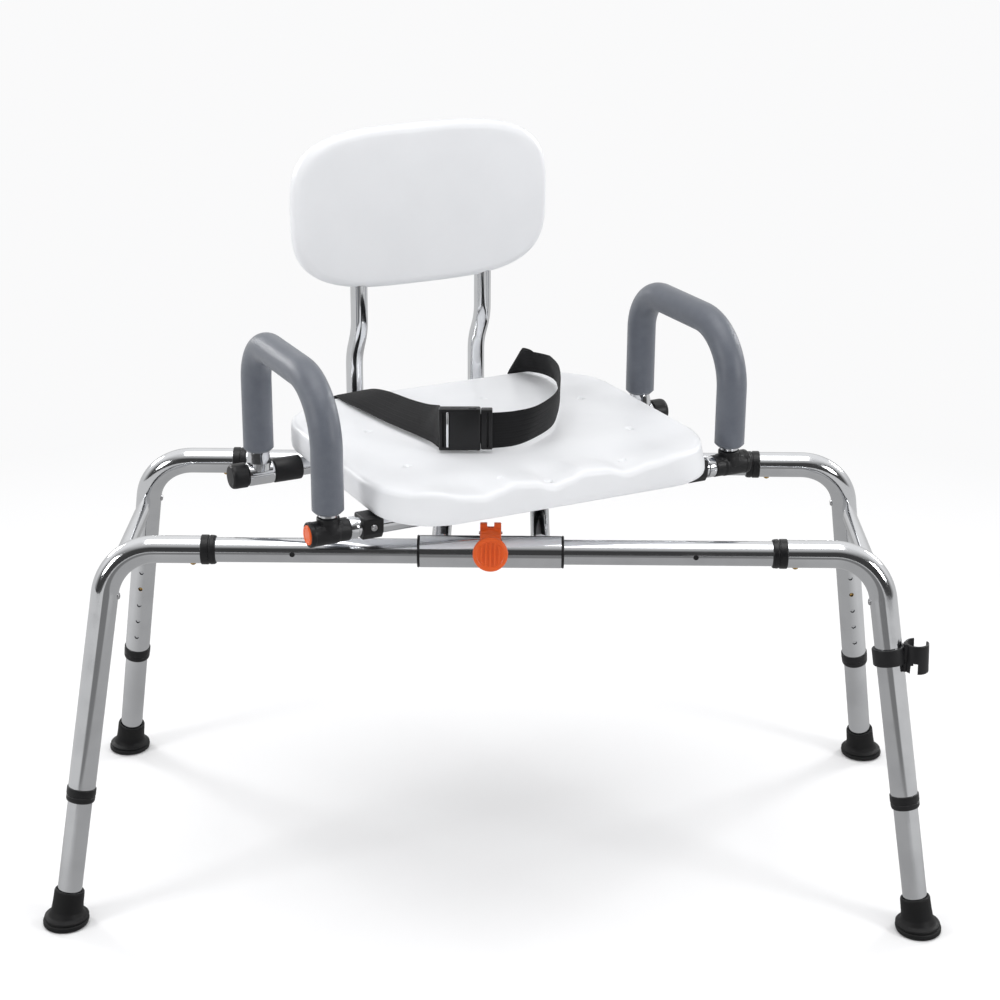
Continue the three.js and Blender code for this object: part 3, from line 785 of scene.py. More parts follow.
# A band around the leg that carries an open clip for the handle of a hand shower.
def makeShowerHolder():
    leg = next(each for each in legs if each["name"] == "front_right")
    sizes = holderSizes
    at = along(leg, leg["length"] - sizes["drop"])
    bore = tubeSizes["outer"] + 0.0001
    band = turned("showerHolder", [(bore, 0, 0.0004), (sizes["radius"], 0, 0.0012),
                                   (sizes["radius"], sizes["band"], 0.0012), (bore, sizes["band"], 0.0004)],
                  at, leg["up"], joined=True, count=56)
    clipBase = at + sizes["offset"]
    axis = Vector((-0.001, 0.003, 0.034)).normalized()
    wall = (sizes["clipIn"], sizes["clipOut"])
    high = sizes["clipHigh"]
    profile = roundOutline([(wall[0], 0, 0.0009), (wall[1], 0, 0.0012), (wall[1], high, 0.0012),
                            (wall[0], high, 0.0009)], True)
    loops = []
    span = 2 * math.pi - (sizes["openTo"] - sizes["openFrom"])
    for k in range(49):
        turn = sizes["openTo"] + span * k / 48
        outward = xAxis * math.cos(turn) + yAxis * math.sin(turn)
        loops.append([clipBase + outward * point.x + axis * point.y for point in profile])
    clip = skin("clip", loops)
    bridge = roundedBox("bridge", (0.013, 0.01, 0.016), at + leg["up"] * 0.01 + Vector((0.0195, -0.003, 0)),
                        0.0012)
    lug = roundedBox("lug", (0.0044, 0.0095, 0.035), clipBase + Vector((-0.0142, 0, 0.017)), 0.0012)
    unite(band, [clip, bridge, lug])
    inside = tube("boreTool", [clipBase - axis * 0.02, clipBase + axis * 0.06], wall[0], count=56)
    notch = roundedBox("notchTool", (0.0085, 0.012, 0.026), clipBase + Vector((-0.005, -0.013, 0)), 0.0012)
    around = tube("boreTool", [at - leg["up"] * 0.02, at + leg["up"] * 0.05], bore, count=56)
    carve(band, [inside, notch, around])
    settle(band, "root", "black_plastic", ["shower_holder"])


for leg in legs:
    makeEndTube(leg)
    collarEnd = Vector((middleOf("rail_collar_" + leg["name"]).x - leg["sx"] * 0.0045, leg["top"].y, railZ))
    makeCollar("railCollar_" + leg["name"], collarEnd, xAxis * leg["sx"], "rail_collar_" + leg["name"])
    makeCollar("legCollar_" + leg["name"], along(leg, tubeSizes["legCollar"] - tubeSizes["collarIn"]),
               leg["up"], "leg_collar_" + leg["name"])
    railButtonAt = Vector((railButtonX(leg), leg["top"].y, railZ))
    makeSnapButton("railPin_" + leg["name"], railButtonAt, -zAxis, xAxis * -leg["sx"],
                   buttonSizes["railRadius"], 0.0188, "rail_snap_" + leg["name"],
                   "rail_button_" + leg["name"])
    makeInnerLeg(leg)
    makeFoot(leg)
    makeSnapButton("legPin_" + leg["name"], along(leg, tubeSizes["button"]), leg["inward"], leg["up"],
                   buttonSizes["legRadius"], 0.0144, "leg_snap_" + leg["name"], "leg_button_" + leg["name"])
for end, sy in ends:
    makeInnerRail(end)
for side, sx in sides:
    makeBrace(side, sx)
makeShowerHolder()
print("base frame made")


# ---- sliding carriage
carriageSizes = {"sleeveHalf": 0.0814, "sleeve": 0.0185, "ring": 0.0024, "ringRadius": 0.0187,
                 "crossX": 0.057, "cross": 0.011, "crossLift": 0.008, "plate": (0.15, 0.116),
                 "plateEdge": 0.012, "race": 0.055, "hub": 0.0222}


def makeSleeve(end, sy):
    sizes = carriageSizes
    y = middleOf("inner_rail_" + end).y
    half = sizes["sleeveHalf"]
    sleeve = tube("sleeve_" + end + "_tube", [Vector((middleX - half, y, railZ)), Vector((middleX + half, y,
                                                                                          railZ))],
                  sizes["sleeve"], tubeSizes["inner"] + 0.0006, 56)
    settle(sleeve, "carriage", "chrome", ["sleeve_" + end])
    for side, sx in sides:
        bore = tubeSizes["inner"] + 0.0003
        ring = turned(f"sleeveRing_{end}_{side}", [(bore, 0, 0.0003), (sizes["ringRadius"], 0, 0.0008),
                      (sizes["ringRadius"], sizes["ring"], 0.001), (bore, sizes["ring"], 0.0003)],
                      Vector((middleX + sx * half, y, railZ)), xAxis * sx, joined=True, count=56)
        settle(ring, "carriage", "black_plastic")


def makeCrossTube(side, sx):
    sizes = carriageSizes
    x = middleX + sx * sizes["crossX"]
    z = railZ + sizes["crossLift"]
    front = frontRail.y + 0.006
    rear = rearRail.y - 0.006
    cross = tube("crossTube_" + side, [Vector((x, front, z)), Vector((x, rear, z))], sizes["cross"], count=44)
    tools = [tube("saddleTool", [Vector((x - 0.03, y, railZ)), Vector((x + 0.03, y, railZ))],
                  sizes["sleeve"] - 0.0002, count=56) for y in (frontRail.y, rearRail.y)]
    carve(cross, tools)
    settle(cross, "carriage", "chrome", ["cross_tube_" + side])


def roundedRectangle(halfX, halfY, radius, steps=8, centre=(0, 0)):
    points = []
    for quarter, (cx, cy) in enumerate(((1, 1), (-1, 1), (-1, -1), (1, -1))):
        for k in range(steps + 1):
            turn = (quarter + k / steps) * math.pi / 2
            points.append(Vector((centre[0] + cx * (halfX - radius) + radius * math.cos(turn),
                                  centre[1] + cy * (halfY - radius) + radius * math.sin(turn))))
    return points


def makeSwivelBase():
    sizes = carriageSizes
    low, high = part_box("swivel_base")
    thick = 0.003
    plate = extruded("swivelBase", roundedRectangle(sizes["plate"][0] / 2, sizes["plate"][1] / 2,
                                                    sizes["plateEdge"]), Vector((middleX, middleY, low.z)),
                     xAxis, yAxis, thick, 0.0006)
    race = turned("race", [(sizes["hub"], 0.001), (sizes["race"], 0.001, 0.0005),
                           (sizes["race"], 0.0062, 0.0016), (0.049, high.z - low.z, 0.001),
                           (sizes["hub"], high.z - low.z, 0.0006)], Vector((middleX, middleY, low.z)),
                  zAxis, joined=True, count=80)
    unite(plate, [race])
    hub = turned("hubTool", [(onAxis, -0.01), (sizes["hub"], -0.01), (sizes["hub"], 0.03), (onAxis, 0.03)],
                 Vector((middleX, middleY, low.z)), zAxis, count=64)
    carve(plate, [hub])
    settle(plate, "carriage", "black_steel", ["swivel_base"])
    for k, (x, y) in enumerate(((-1, -1), (1, -1), (1, 1), (-1, 1))):
        screwHead(f"baseBolt_{k}", Vector((middleX + x * 0.064, middleY + y * 0.046, low.z + thick)), zAxis,
                  "carriage", "black_steel", scale=1.2)


leverSizes = {"wide": 0.024, "notch": 0.008, "paddle": 0.02, "thick": 0.0055, "ribs": 5, "ribPitch": 0.005,
              "face": Vector((0, -0.98, 0.17)), "middle": Vector((0, -0.0315, 0.01)),
              "outline": [(0, 20.5), (0, 36), (-5, 36), (-6.2, 29.5), (-13, 28.6), (-20, 27), (-24.6, 23.8),
                          (-28, 19.5), (-32, 14), (-36, 8), (-31.5, 5), (-28.2, 10.2), (-24.5, 15.5),
                          (-21, 18.6), (-17, 20.5)]}


def makeLever():
    sizes = leverSizes
    outline = [Vector((frontRail.y + y / 1000, railZ + z / 1000)) for y, z in reversed(sizes["outline"])]
    strip = extruded("lockLever", outline, Vector((middleX - sizes["wide"] / 2, 0, 0)), yAxis, zAxis,
                     sizes["wide"], 0.001, 4)
    face = sizes["face"].normalized()
    middle = Vector((middleX, frontRail.y, railZ)) + sizes["middle"]
    paddle = turned("paddle", [(onAxis, 0), (sizes["paddle"], 0, 0.0012),
                               (sizes["paddle"], sizes["thick"], 0.002),
                               (sizes["paddle"] - 0.004, sizes["thick"], 0.0006),
                               (sizes["paddle"] - 0.0048, sizes["thick"] - 0.0006, 0.0006),
                               (onAxis, sizes["thick"] - 0.0006)], middle, face, count=72)
    first = xAxis
    second = face.cross(first).normalized()
    basis = Matrix((first, second, face)).transposed()
    ribs = []
    for k in range(sizes["ribs"]):
        shift = (k - (sizes["ribs"] - 1) / 2) * sizes["ribPitch"]
        length = 2 * math.sqrt(0.0138 ** 2 - shift ** 2)
        ribs.append(roundedBox("rib", (0.002, length, 0.0022),
                               middle + face * (sizes["thick"] - 0.0004) + first * shift, 0.0006, basis))
    unite(strip, [paddle] + ribs)
    notch = roundedBox("notchTool", (sizes["notch"], 0.03, 0.01),
                       Vector((middleX, frontRail.y, railZ + 0.036)), 0.0008)
    carve(strip, [notch])
    settle(strip, "lever", "orange_plastic", ["lock_lever"])
    axleAt = Vector((middleX, frontRail.y - 0.004, railZ + 0.0246))
    axle = tube("leverAxle", [axleAt - xAxis * 0.0135, axleAt + xAxis * 0.0135], 0.0016, count=20,
                chamfer=0.0003)
    settle(axle, "carriage", "chrome")


for end, sy in ends:
    makeSleeve(end, sy)
for side, sx in sides:
    makeCrossTube(side, sx)
makeSwivelBase()
makeLever()
print("carriage made")


# ---- seat: modelled in its own axes, in metres
seatSizes = {"tube": 0.011, "frontY": -0.117, "rearY": 0.098, "frontEnd": 0.237, "rearEnd": 0.277,
             "armX": 0.2605, "socketStart": 0.2375, "socketEnd": 0.285, "clampX": 0.2115, "clamp": 0.024,
             "beamX": 0.058, "rearSleeve": (0.209, 0.0348), "stubRing": (0.228, 0.0094), "capStart": 0.2776,
             "buttonSeat": 0.008, "buttonBore": 0.0117, "plateHalf": 0.071}
shellSizes = {"halfX": 0.214, "front": -0.2, "back": 0.184, "topRadius": (0.1, 0.09),
              "lowRadius": (0.076, 0.08), "rim": 0.0085, "dish": 0.0028, "dishReach": 0.055,
              "waveFrom": -0.118, "waveTo": -0.188, "wave": [(-214, 0), (-162, 2.4), (-127, -4),
                                                             (-105, -6.5), (-87, -2.5), (-70, 3),
                                                             (-45, 0.5), (-20, -7.5), (-1, -3), (19, 3.6),
                                                             (44, 2.4), (74, -5.5), (104, 0), (138, 3.4),
                                                             (182, 1.5), (214, 0)],
              "drains": [(150, 55), (146, -74), (41, 109), (-31, 109), (-140, 52), (-147, -80), (-74, -166),
                         (-21, -184), (84, -166)]}


def eased(value, low, high):
    part = min(max((value - low) / (high - low), 0), 1)
    return part * part * (3 - 2 * part)


def waveAt(x):
    table = shellSizes["wave"]
    for (x0, h0), (x1, h1) in zip(table, table[1:]):
        if x * 1000 <= x1:
            return (h0 + (h1 - h0) * eased(x * 1000, x0, x1)) / 1000
    return table[-1][1] / 1000


# The top sinks a little behind its rim; the front rim runs in waves under the thighs.
def seatHeight(x, y):
    sizes = shellSizes
    inside = min(sizes["halfX"] - abs(x), y - sizes["front"], sizes["back"] - y)
    dish = sizes["dish"] * eased(inside, 0.006, sizes["dishReach"])
    front = eased(-y, -sizes["waveFrom"], -sizes["waveTo"])
    side = eased(sizes["halfX"] - abs(x), 0, 0.05)
    return seatTopZ - dish + waveAt(x) * front * side


# The upright corners are tighter at the bottom than at the rim.
def seatOutline(inset, height=1.0, steps=18):
    sizes = shellSizes
    front, back = [low + (top - low) * height for low, top in zip(sizes["lowRadius"], sizes["topRadius"])]
    points = []
    spots = ((1, sizes["back"], back, 0), (-1, sizes["back"], back, 1),
             (-1, sizes["front"], front, 2), (1, sizes["front"], front, 3))
    corners = []
    for sx, edgeY, radius, quarter in spots:
        centre = Vector((sx * (sizes["halfX"] - radius), edgeY - math.copysign(radius, edgeY)))
        corners.append([centre + Vector((math.cos(t), math.sin(t))) * (radius - inset)
                        for t in [(quarter + k / steps) * math.pi / 2 for k in range(steps + 1)]])
    straight = (16, 14, 46, 14)
    for k, arc in enumerate(corners):
        points += arc
        after = corners[(k + 1) % 4][0]
        points += [arc[-1].lerp(after, j / straight[k]) for j in range(1, straight[k])]
    return points


def makeSeatShell():
    sizes = shellSizes
    rim = sizes["rim"]
    loops = []
    wall = ((0.06, 0.0), (0.014, 0.0), (0.0075, 0.0006), (0.0045, 0.0022), (0.003, 0.0048), (0.0015, 0.012))
    for inset, lift in wall:
        loops.append([Vector((p.x, p.y, seatBottomZ + lift)) for p in seatOutline(inset, lift / 0.03)])
    for k in range(11):
        turn = math.pi / 2 * k / 10
        inset = rim * (1 - math.cos(turn))
        ring = []
        for p in seatOutline(inset):
            top = seatHeight(p.x, p.y)
            ring.append(Vector((p.x, p.y, top - rim * (1 - math.sin(turn)))))
        loops.append(ring)
    base = seatOutline(rim)
    centre = Vector((0, -0.004))
    for k in range(1, 31):
        part = min(k / 30 * 0.985, 0.985)
        points = [p.lerp(centre, part) for p in base]
        loops.append([Vector((p.x, p.y, seatHeight(p.x, p.y))) for p in points])
    shell = skin("seatShell", loops)
    drains = []
    for x, y in sizes["drains"]:
        top = Vector((x / 1000, y / 1000, seatHeight(x / 1000, y / 1000)))
        drains.append(turned("drainTool", [(onAxis, -0.0022), (0.0026, -0.0018, 0.0006),
                                           (0.0052, 0.0004, 0.001), (0.006, 0.004), (onAxis, 0.004)], top,
                             zAxis, count=28))
    carve(shell, drains, sharpDegrees=50)
    settle(shell, "seat", "white_plastic", ["seat_shell"], seatSpace)


panelSizes = {"halfX": 0.171, "low": 0.679, "high": 0.878, "front": 0.187, "thick": 0.027, "power": 3.4,
              "rim": 0.01}
backTubeSizes = {"x": 0.085, "radius": 0.0106, "wall": 0.0012, "start": 0.112, "behind": 0.219,
                 "inPanel": 0.2005, "bore": 0.0109, "setLow": 0.588, "setHigh": 0.626, "sunk": 0.082,
                 "bends": [0.026, 0.06, 0.06], "saddleY": 0.152}


# Between an ellipse and a rectangle, so every edge is a little bowed.
def oblong(halfX, halfZ, power, steps=112):
    points = []
    for k in range(steps):
        turn = 2 * math.pi * k / steps
        bowed = [math.copysign(abs(v) ** (2 / power), v) for v in (math.cos(turn), math.sin(turn))]
        points.append(Vector((halfX * bowed[0], halfZ * bowed[1])))
    return points


def makeBackPanel():
    sizes = panelSizes
    middle = (sizes["low"] + sizes["high"]) / 2
    halfZ = (sizes["high"] - sizes["low"]) / 2
    rim = sizes["rim"]

    def ring(inset, depth):
        outline = oblong(sizes["halfX"] - inset, halfZ - inset, sizes["power"])
        return [Vector((p.x, sizes["front"] + depth, middle + p.y)) for p in outline]

    loops = []
    for k in range(14):
        loops.append(ring(rim + (halfZ - rim - 0.004) * (1 - k / 13), 0.0))
    for k in range(1, 9):
        turn = math.pi / 2 * k / 8
        loops.append(ring(rim * (1 - math.sin(turn)), rim * (1 - math.cos(turn))))
    back = sizes["thick"]
    for k in range(9):
        turn = math.pi / 2 * k / 8
        loops.append(ring(rim * (1 - math.cos(turn)), back - rim * (1 - math.sin(turn))))
    for k in range(1, 10):
        loops.append(ring(rim + (halfZ - rim - 0.004) * k / 9, back))
    panel = skin("backPanel", loops)
    tubes = backTubeSizes
    tools = []
    for side, sx in sides:
        low = Vector((sx * tubes["x"], tubes["inPanel"], sizes["low"] - 0.02))
        tools.append(tube("boreTool", [low, low + zAxis * 0.1025], tubes["bore"], count=48))
    carve(panel, tools, sharpDegrees=40)
    settle(panel, "seat", "white_plastic", ["back_panel"], seatSpace)


# Out from under the seat, up behind it, then forward and up into the backrest's underside.
def makeBackTube(side, sx):
    sizes = backTubeSizes
    x = sx * sizes["x"]
    stations = ((sizes["start"], pivotZ), (sizes["behind"], pivotZ), (sizes["behind"], sizes["setLow"]),
                (sizes["inPanel"], sizes["setHigh"]), (sizes["inPanel"], panelSizes["low"] + sizes["sunk"]))
    path = bentPath([Vector((x, y, z)) for y, z in stations], sizes["bends"], 14)
    piece = tube("backTube_" + side, path, sizes["radius"], sizes["radius"] - sizes["wall"], 40)
    settle(piece, "seat", "chrome", ["back_tube_" + side], seatSpace)
    screwHead(f"panelScrew_{side}", Vector((x, panelSizes["front"] + panelSizes["thick"] - 0.0012,
                                            panelSizes["low"] + 0.045)), yAxis, "seat", space=seatSpace)
    saddle = roundedBox("backSaddle_" + side, (0.03, 0.03, 0.012),
                        Vector((x, sizes["saddleY"], seatBottomZ - 0.0065)), 0.002)
    settle(saddle, "seat", "black_plastic", space=seatSpace)


def makeSwivelTop():
    low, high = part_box("swivel_top")
    sizes = carriageSizes
    plateZ = 0.48
    race = turned("swivelTop", [(sizes["hub"], low.z, 0.0006), (0.049, low.z, 0.001),
                                (sizes["race"], low.z + 0.0016, 0.0012), (sizes["race"], plateZ + 0.001),
                                (sizes["hub"], plateZ + 0.001)], Vector((0, 0, 0)), zAxis, joined=True,
                  count=80)
    half = seatSizes["plateHalf"]
    plate = extruded("plate", roundedRectangle(half, half, 0.01), Vector((0, 0, plateZ)), xAxis,
                     yAxis, 0.003, 0.0006)
    hub = turned("hubTool", [(onAxis, 0.46), (sizes["hub"], 0.46), (sizes["hub"], 0.5), (onAxis, 0.5)],
                 Vector((0, 0, 0)), zAxis, count=64)
    carve(plate, [hub])
    beams = []
    run = seatSizes["rearY"] - seatSizes["frontY"] - 2 * seatSizes["tube"] - 0.0008
    for side, sx in sides:
        height = high.z - plateZ - 0.0004
        beams.append(roundedBox("beam", (0.02, run, height),
                                Vector((sx * seatSizes["beamX"],
                                        (seatSizes["rearY"] + seatSizes["frontY"]) / 2,
                                        plateZ + 0.0004 + height / 2)), 0.0022))
    unite(race, [plate] + beams)
    settle(race, "seat", "black_steel", ["swivel_top"], seatSpace)


def makeSeatTube(end, y, reach):
    piece = tube("seatTube_" + end, [Vector((-reach, y, pivotZ)), Vector((reach, y, pivotZ))],
                 seatSizes["tube"], 0.0096, 44)
    settle(piece, "seat", "chrome", ["seat_tube_" + end], seatSpace)


def makeSeatMounts(side, sx):
    sizes = seatSizes
    at = Vector((sx * sizes["clampX"], sizes["frontY"], pivotZ + 0.0005))
    outline = [Vector((y / 1000, z / 1000)) for y, z in ((-9, -14), (9, -14), (14, -6), (15, 13), (-15, 13),
                                                         (-14, -6))]
    clamp = extruded("seatClamp_" + side, smoothOutline(outline, 0.004),
                     at - Vector((sizes["clamp"] / 2, 0, 0)), yAxis, zAxis, sizes["clamp"], 0.0014, 4)
    settle(clamp, "seat", "black_plastic", space=seatSpace)
    screwHead("clampScrew_" + side, at + Vector((0, -0.0146, 0.001)), -yAxis, "seat", space=seatSpace,
              scale=0.9)
    bore = sizes["tube"] + 0.0001
    start, long = sizes["rearSleeve"]
    sleeve = turned("rearSleeve_" + side, [(bore, 0, 0.0005), (0.0146, 0, 0.0018), (0.0146, long, 0.0012),
                                           (bore, long, 0.0005)],
                    Vector((sx * start, sizes["rearY"], pivotZ)), xAxis * sx, joined=True, count=48)
    settle(sleeve, "seat", "black_plastic", space=seatSpace)


def smoothOutline(points, radius):
    return roundOutline([(p.x, p.y, radius) for p in points], True)


def makeArmSocket(side, sx):
    sizes = seatSizes
    axis = xAxis * sx
    centre = Vector((sx * sizes["armX"], sizes["frontY"], pivotZ))
    start = Vector((sx * sizes["socketStart"], sizes["frontY"], pivotZ))
    long = sizes["socketEnd"] - sizes["socketStart"]
    barrel = turned("armSocket_" + side, [(onAxis, 0), (0.0132, 0, 0.0014), (0.0132, 0.012, 0.002),
                                          (0.014, 0.015, 0.002), (0.014, long - 0.006, 0.001),
                                          (0.0144, long - 0.005, 0.0005), (0.0144, long, 0.0014),
                                          (onAxis, long)], start, axis, count=56)
    collar = turned("collar", [(onAxis, 0), (0.0145, 0, 0.001), (0.0136, 0.009, 0.003),
                               (0.0128, 0.0125, 0.002), (0.013, 0.0145, 0.0008), (0.013, 0.018, 0.0014),
                               (onAxis, 0.018)], centre, zAxis, count=56)
    shoulders = roundedBox("shoulders", (0.034, 0.0225, 0.0125), centre + Vector((0, 0, 0.006)), 0.005,
                           segments=5)
    unite(barrel, [collar, shoulders])
    pinBore = turned("boreTool", [(onAxis, 0.005), (0.0062, 0.005), (0.0062, 0.016), (0.0085, 0.0195),
                                  (onAxis, 0.0195)], centre, zAxis, count=40)
    buttonBore = tube("boreTool", [centre + axis * sizes["buttonBore"], centre + axis * 0.03], 0.0121,
                      count=48, chamfer=0.0001)
    carve(barrel, [pinBore, buttonBore])
    settle(barrel, "seat", "black_plastic", ["arm_socket_" + side], seatSpace)
    bore = sizes["tube"] + 0.0001
    start, long = sizes["stubRing"]
    ring = turned("stubRing_" + side, [(bore, 0, 0.0004), (0.0126, 0, 0.0008), (0.0126, long, 0.0008),
                                       (bore, long, 0.0004)], Vector((sx * start, sizes["frontY"], pivotZ)),
                  axis, joined=True, count=48)
    settle(ring, "seat", "chrome", space=seatSpace)


def makeReleaseButton(side, sx):
    base = Vector((sx * (seatSizes["socketEnd"] - seatSizes["buttonSeat"]), seatSizes["frontY"], pivotZ))
    outline = [(onAxis, 0), (0.0114, 0, 0.0004), (0.0114, 0.0082, 0.0008), (0.0104, 0.0096, 0.0012),
               (0.008, 0.0096, 0.0005), (0.0074, 0.009, 0.0005), (onAxis, 0.009)]
    settle(turned("releaseButton_" + side, outline, base, xAxis * sx, count=56), "release_" + side,
           "orange_plastic", ["release_button_" + side], seatSpace)


def makeAxleCap(side, sx):
    outline = [(onAxis, 0), (0.015, 0, 0.0012), (0.015, 0.015, 0.0015), (0.0143, 0.018, 0.0015),
               (0.0125, 0.0198, 0.0018), (onAxis, 0.0198)]
    cap = turned("axleCap_" + side, outline, Vector((sx * seatSizes["capStart"], seatSizes["rearY"],
                                                     pivotZ)), xAxis * sx, count=56)
    settle(cap, "seat", "black_plastic", ["axle_cap_" + side], seatSpace)


makeSeatShell()
makeBackPanel()
makeSwivelTop()
makeSeatTube("front", seatSizes["frontY"], seatSizes["frontEnd"])
makeSeatTube("rear", seatSizes["rearY"], seatSizes["rearEnd"])
for side, sx in sides:
    makeBackTube(side, sx)
    makeSeatMounts(side, sx)
    makeArmSocket(side, sx)
    makeReleaseButton(side, sx)
    makeAxleCap(side, sx)
print("seat made")


# ---- flip-up arms
armSizes = {"top": 0.664, "bends": [0.05, 0.072], "grip": 0.018, "gripBore": 0.0113, "tee": 0.0142,
            "teeHalf": 0.016}


def armPath(sx, rearLow, frontLow):
    x = sx * seatSizes["armX"]
    return bentPath([Vector((x, seatSizes["rearY"], rearLow)),
                     Vector((x, seatSizes["rearY"], armSizes["top"])),
                     Vector((x, seatSizes["frontY"], armSizes["top"])),
                     Vector((x, seatSizes["frontY"], frontLow))], armSizes["bends"], 20)


def makeArm(side, sx):
    sizes = armSizes
    x = sx * seatSizes["armX"]
    hinge = Vector((x, seatSizes["rearY"], pivotZ))
    arm = tube("armTube_" + side, armPath(sx, pivotZ + 0.0125, pivotZ + 0.0186), seatSizes["tube"], count=44)
    half = sizes["teeHalf"]
    tee = turned("tee", [(onAxis, -half), (0.0136, -half, 0.0012), (0.0142, -half + 0.003, 0.001),
                         (0.0142, half - 0.003, 0.001), (0.0136, half, 0.0012), (onAxis, half)], hinge,
                 xAxis, count=56)
    flare = turned("flare", [(onAxis, 0.006), (0.0148, 0.006), (0.0148, 0.015, 0.002), (0.0128, 0.025, 0.003),
                             (0.012, 0.0285, 0.0006), (onAxis, 0.0285)], hinge, zAxis, count=48)
    unite(arm, [tee, flare])
    carve(arm, [tube("boreTool", [hinge - xAxis * 0.03, hinge + xAxis * 0.03], seatSizes["tube"] + 0.0002,
                     count=48)])
    settle(arm, "arm_" + side, "chrome", ["arm_tube_" + side], seatSpace)
    low = Vector((x, seatSizes["frontY"], pivotZ + 0.0075))
    pin = turned("latchPin_" + side, [(onAxis, 0, 0.001), (0.003, 0, 0.0016), (0.0042, 0.003, 0.001),
                                      (0.0042, 0.0075, 0.0003), (0.0034, 0.008, 0.0002), (0.0034, 0.012),
                                      (onAxis, 0.012)], low, zAxis, count=32)
    settle(pin, "arm_" + side, "brass", space=seatSpace, finish=copperFinish)
    grip = tube("grip_" + side + "_foam", armPath(sx, pivotZ + 0.029, pivotZ + 0.0232), sizes["grip"],
                sizes["gripBore"], 48, chamfer=0.0035)
    settle(grip, "arm_" + side, "foam", ["grip_" + side], seatSpace)


for side, sx in sides:
    makeArm(side, sx)
print("arms made")


# ---- belt: each strap is given by its two edges, station by station, in millimetres
strapSizes = {"wide": 0.043, "thick": 0.0022, "steps": 96, "across": 8}
strapRoutes = {"left": [((-131, 191, 517), (-83, 191, 517)), ((-131, 191, 532), (-83, 191, 532)),
                        ((-130.5, 189.5, 543), (-83, 190, 544)), ((-130, 182, 550.6), (-82.5, 181, 553)),
                        ((-127.5, 154, 550.4), (-81, 156, 562)), ((-122, 118, 550.2), (-77, 122, 568)),
                        ((-115, 65, 550), (-72, 70, 573)), ((-108, 27, 550), (-68, 33, 578)),
                        ((-101, -3, 550), (-69, 4, 585)), ((-96, -33, 550), (-81, -27, 595)),
                        ((-94, -51, 551), (-93.2, -51, 594))], "right": [((-39.6, -79.1, 551), (-39.6,
                                                                                                -79.1,
                                                                                                594)),
                                                                         ((-13, -81.5, 550.4),
                                                                          (-13, -83.5, 594)),
                                                                         ((14, -73.5, 550),
                                                                          (18, -80.5, 597.3)),
                                                                         ((55, -44.5, 550),
                                                                          (59, -48.5, 597.6)),
                                                                         ((87, -1.5, 550), (89, -3.5, 598)),
                                                                         ((115, 45.5, 550.2),
                                                                          (113, 45.5, 598)),
                                                                         ((139, 92.5, 550.4),
                                                                          (125, 88.5, 596)),
                                                                         ((149, 123.5, 550.6),
                                                                          (130, 109.5, 592)),
                                                                         ((146, 152, 550.8),
                                                                          (127, 132, 589)),
                                                                         ((132, 171, 551), (120, 146, 588)),
                                                                         ((118, 182, 551.2),
                                                                          (121, 158, 587)),
                                                                         ((118, 188.5, 548),
                                                                          (133, 176, 578)),
                                                                         ((125, 191.5, 541),
                                                                          (153, 190, 567)),
                                                                         ((129, 192.5, 528),
                                                                          (168, 193, 552)),
                                                                         ((130, 192.5, 517),
                                                                          (175, 193, 530))], }


def catmull(points, at):
    last = len(points) - 1
    place = at * last
    i = min(int(place), last - 1)
    t = place - i
    a, b, c, d = points[max(i - 1, 0)], points[i], points[i + 1], points[min(i + 2, last)]
    return 0.5 * (2
                  * b
                  + (c - a) * t + (2 * a - 5 * b + 4 * c - d) * t * t + (3 * b - a - 3 * c + d) * t ** 3)


def makeStrap(side):
    sizes = strapSizes
    lows = [Vector(low) / 1000 for low, high in strapRoutes[side]]
    highs = [Vector(high) / 1000 for low, high in strapRoutes[side]]
    steps = sizes["steps"]
    rows = []
    for k in range(steps + 1):
        low = catmull(lows, k / steps)
        high = catmull(highs, k / steps)
        middle = (low + high) / 2
        half = (high - low).normalized() * (sizes["wide"] / 2)
        rows.append((middle, half))
    lengths = [0.0]
    for (before, a), (after, b) in zip(rows, rows[1:]):
        lengths.append(lengths[-1] + (after - before).length)
    verts = []
    strips = []
    count = sizes["across"]
    for k, (middle, half) in enumerate(rows):
        run = rows[min(k + 1, steps)][0] - rows[max(k - 1, 0)][0]
        normal = run.cross(half).normalized() * (sizes["thick"] / 2)
        ring = []
        for face, order in ((1, range(count + 1)), (-1, range(count, -1, -1))):
            for j in order:
                part = 2 * j / count - 1
                thin = 0.45 if j in (0, count) else 1.0
                ring.append((middle + half * part + normal * (face * thin),
                             (lengths[k], part * sizes["wide"] / 2)))
        verts += [point for point, place in ring]
        strips += [place for point, place in ring]
    around = 2 * (count + 1)
    faces = []
    for k in range(steps):
        for j in range(around):
            after = (j + 1) % around
            faces.append((k * around + j, k * around + after, (k + 1) * around + after, (k + 1) * around + j))
    faces.append(tuple(range(around)))
    faces.append(tuple(steps * around + j for j in range(around)))
    strap = meshPiece("strap_" + side, verts, faces)
    layer = strap.data.uv_layers.new(name="strip")
    for loop in strap.data.loops:
        layer.data[loop.index].uv = strips[loop.vertex_index]
    settle(strap, "seat", "webbing", ["belt_" + side], seatSpace)
    print("strap", side, "length", round(lengths[-1], 4))
    return strap


buckleSizes = {"socketThick": 0.0125, "socketHigh": 0.0508, "plugThick": 0.0105, "plugHigh": 0.0486}


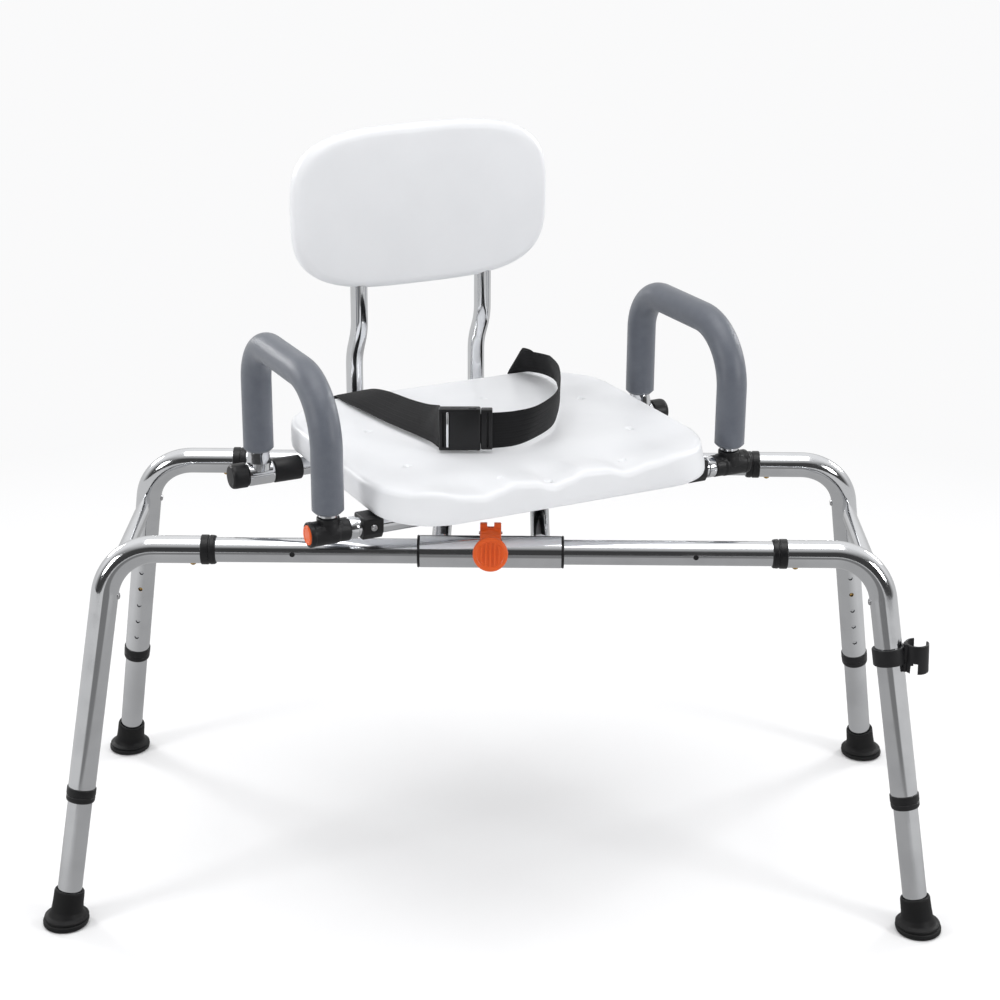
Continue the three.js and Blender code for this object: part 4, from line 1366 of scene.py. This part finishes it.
# One half of the buckle stands on the seat between two points of the belt's line.
def buckleBasis(start, end):
    run = (Vector((*end, 0)) - Vector((*start, 0))) / 1000
    first = run.normalized()
    second = zAxis
    face = first.cross(second)
    return run.length, Matrix((first, second, face)).transposed(), Vector(((start[0] + end[0]) / 2000,
                                                                           (start[1] + end[1]) / 2000, 0))


def makeBuckle():
    sizes = buckleSizes
    base = seatTopZ + 0.0006
    length, basis, middle = buckleBasis((-95.1, -52.5), (-51.8, -73.7))
    centre = middle + Vector((0, 0, base + sizes["socketHigh"] / 2))
    front = sizes["socketThick"] / 2
    body = roundedBox("buckleSocket", (length, sizes["socketHigh"], sizes["socketThick"]), centre, 0.0022,
                      basis, 4)
    tools = [roundedBox("windowTool", (wide, 0.0425, 0.007), centre + basis @ Vector((x, 0, front)), 0.0008,
                        basis) for x, wide in ((-0.019, 0.0024), (-0.0142, 0.005))]
    tools.append(roundedBox("mouthTool", (0.01, 0.04, 0.0056), centre + basis @ Vector((length / 2, 0, 0)),
                            0.001, basis))
    for up in (-1, 1):
        tools.append(roundedBox("thumbTool", (0.01, 0.0022, 0.006),
                                centre + basis @ Vector((0.0145, up * sizes["socketHigh"] / 2, front)),
                                0.0008, basis))
    carve(body, tools)
    settle(body, "seat", "black_plastic", ["buckle_socket"], seatSpace)
    bar = roundedBox("adjusterBar", (0.003, 0.0425, 0.0022),
                     centre + basis @ Vector((-0.0142, 0, front - 0.0008)), 0.0008, basis)
    settle(bar, "seat", "chrome", space=seatSpace)
    length, basis, middle = buckleBasis((-51.6, -73.8), (-39.6, -79.7))
    centre = middle + Vector((0, 0, base + sizes["socketHigh"] / 2))
    front = sizes["plugThick"] / 2
    plug = roundedBox("bucklePlug", (length, sizes["plugHigh"], sizes["plugThick"]), centre, 0.0016, basis, 4)
    groove = roundedBox("windowTool", (0.0022, 0.043, 0.006), centre + basis @ Vector((0.0012, 0, front)),
                        0.0006, basis)
    prong = roundedBox("prong", (0.016, 0.036, 0.004), centre + basis @ Vector((-0.007, 0, 0)), 0.001, basis)
    carve(plug, [groove])
    unite(plug, [prong])
    settle(plug, "seat", "black_plastic", ["buckle_plug"], seatSpace)


for side, sx in sides:
    makeStrap(side)
makeBuckle()
print("belt made")
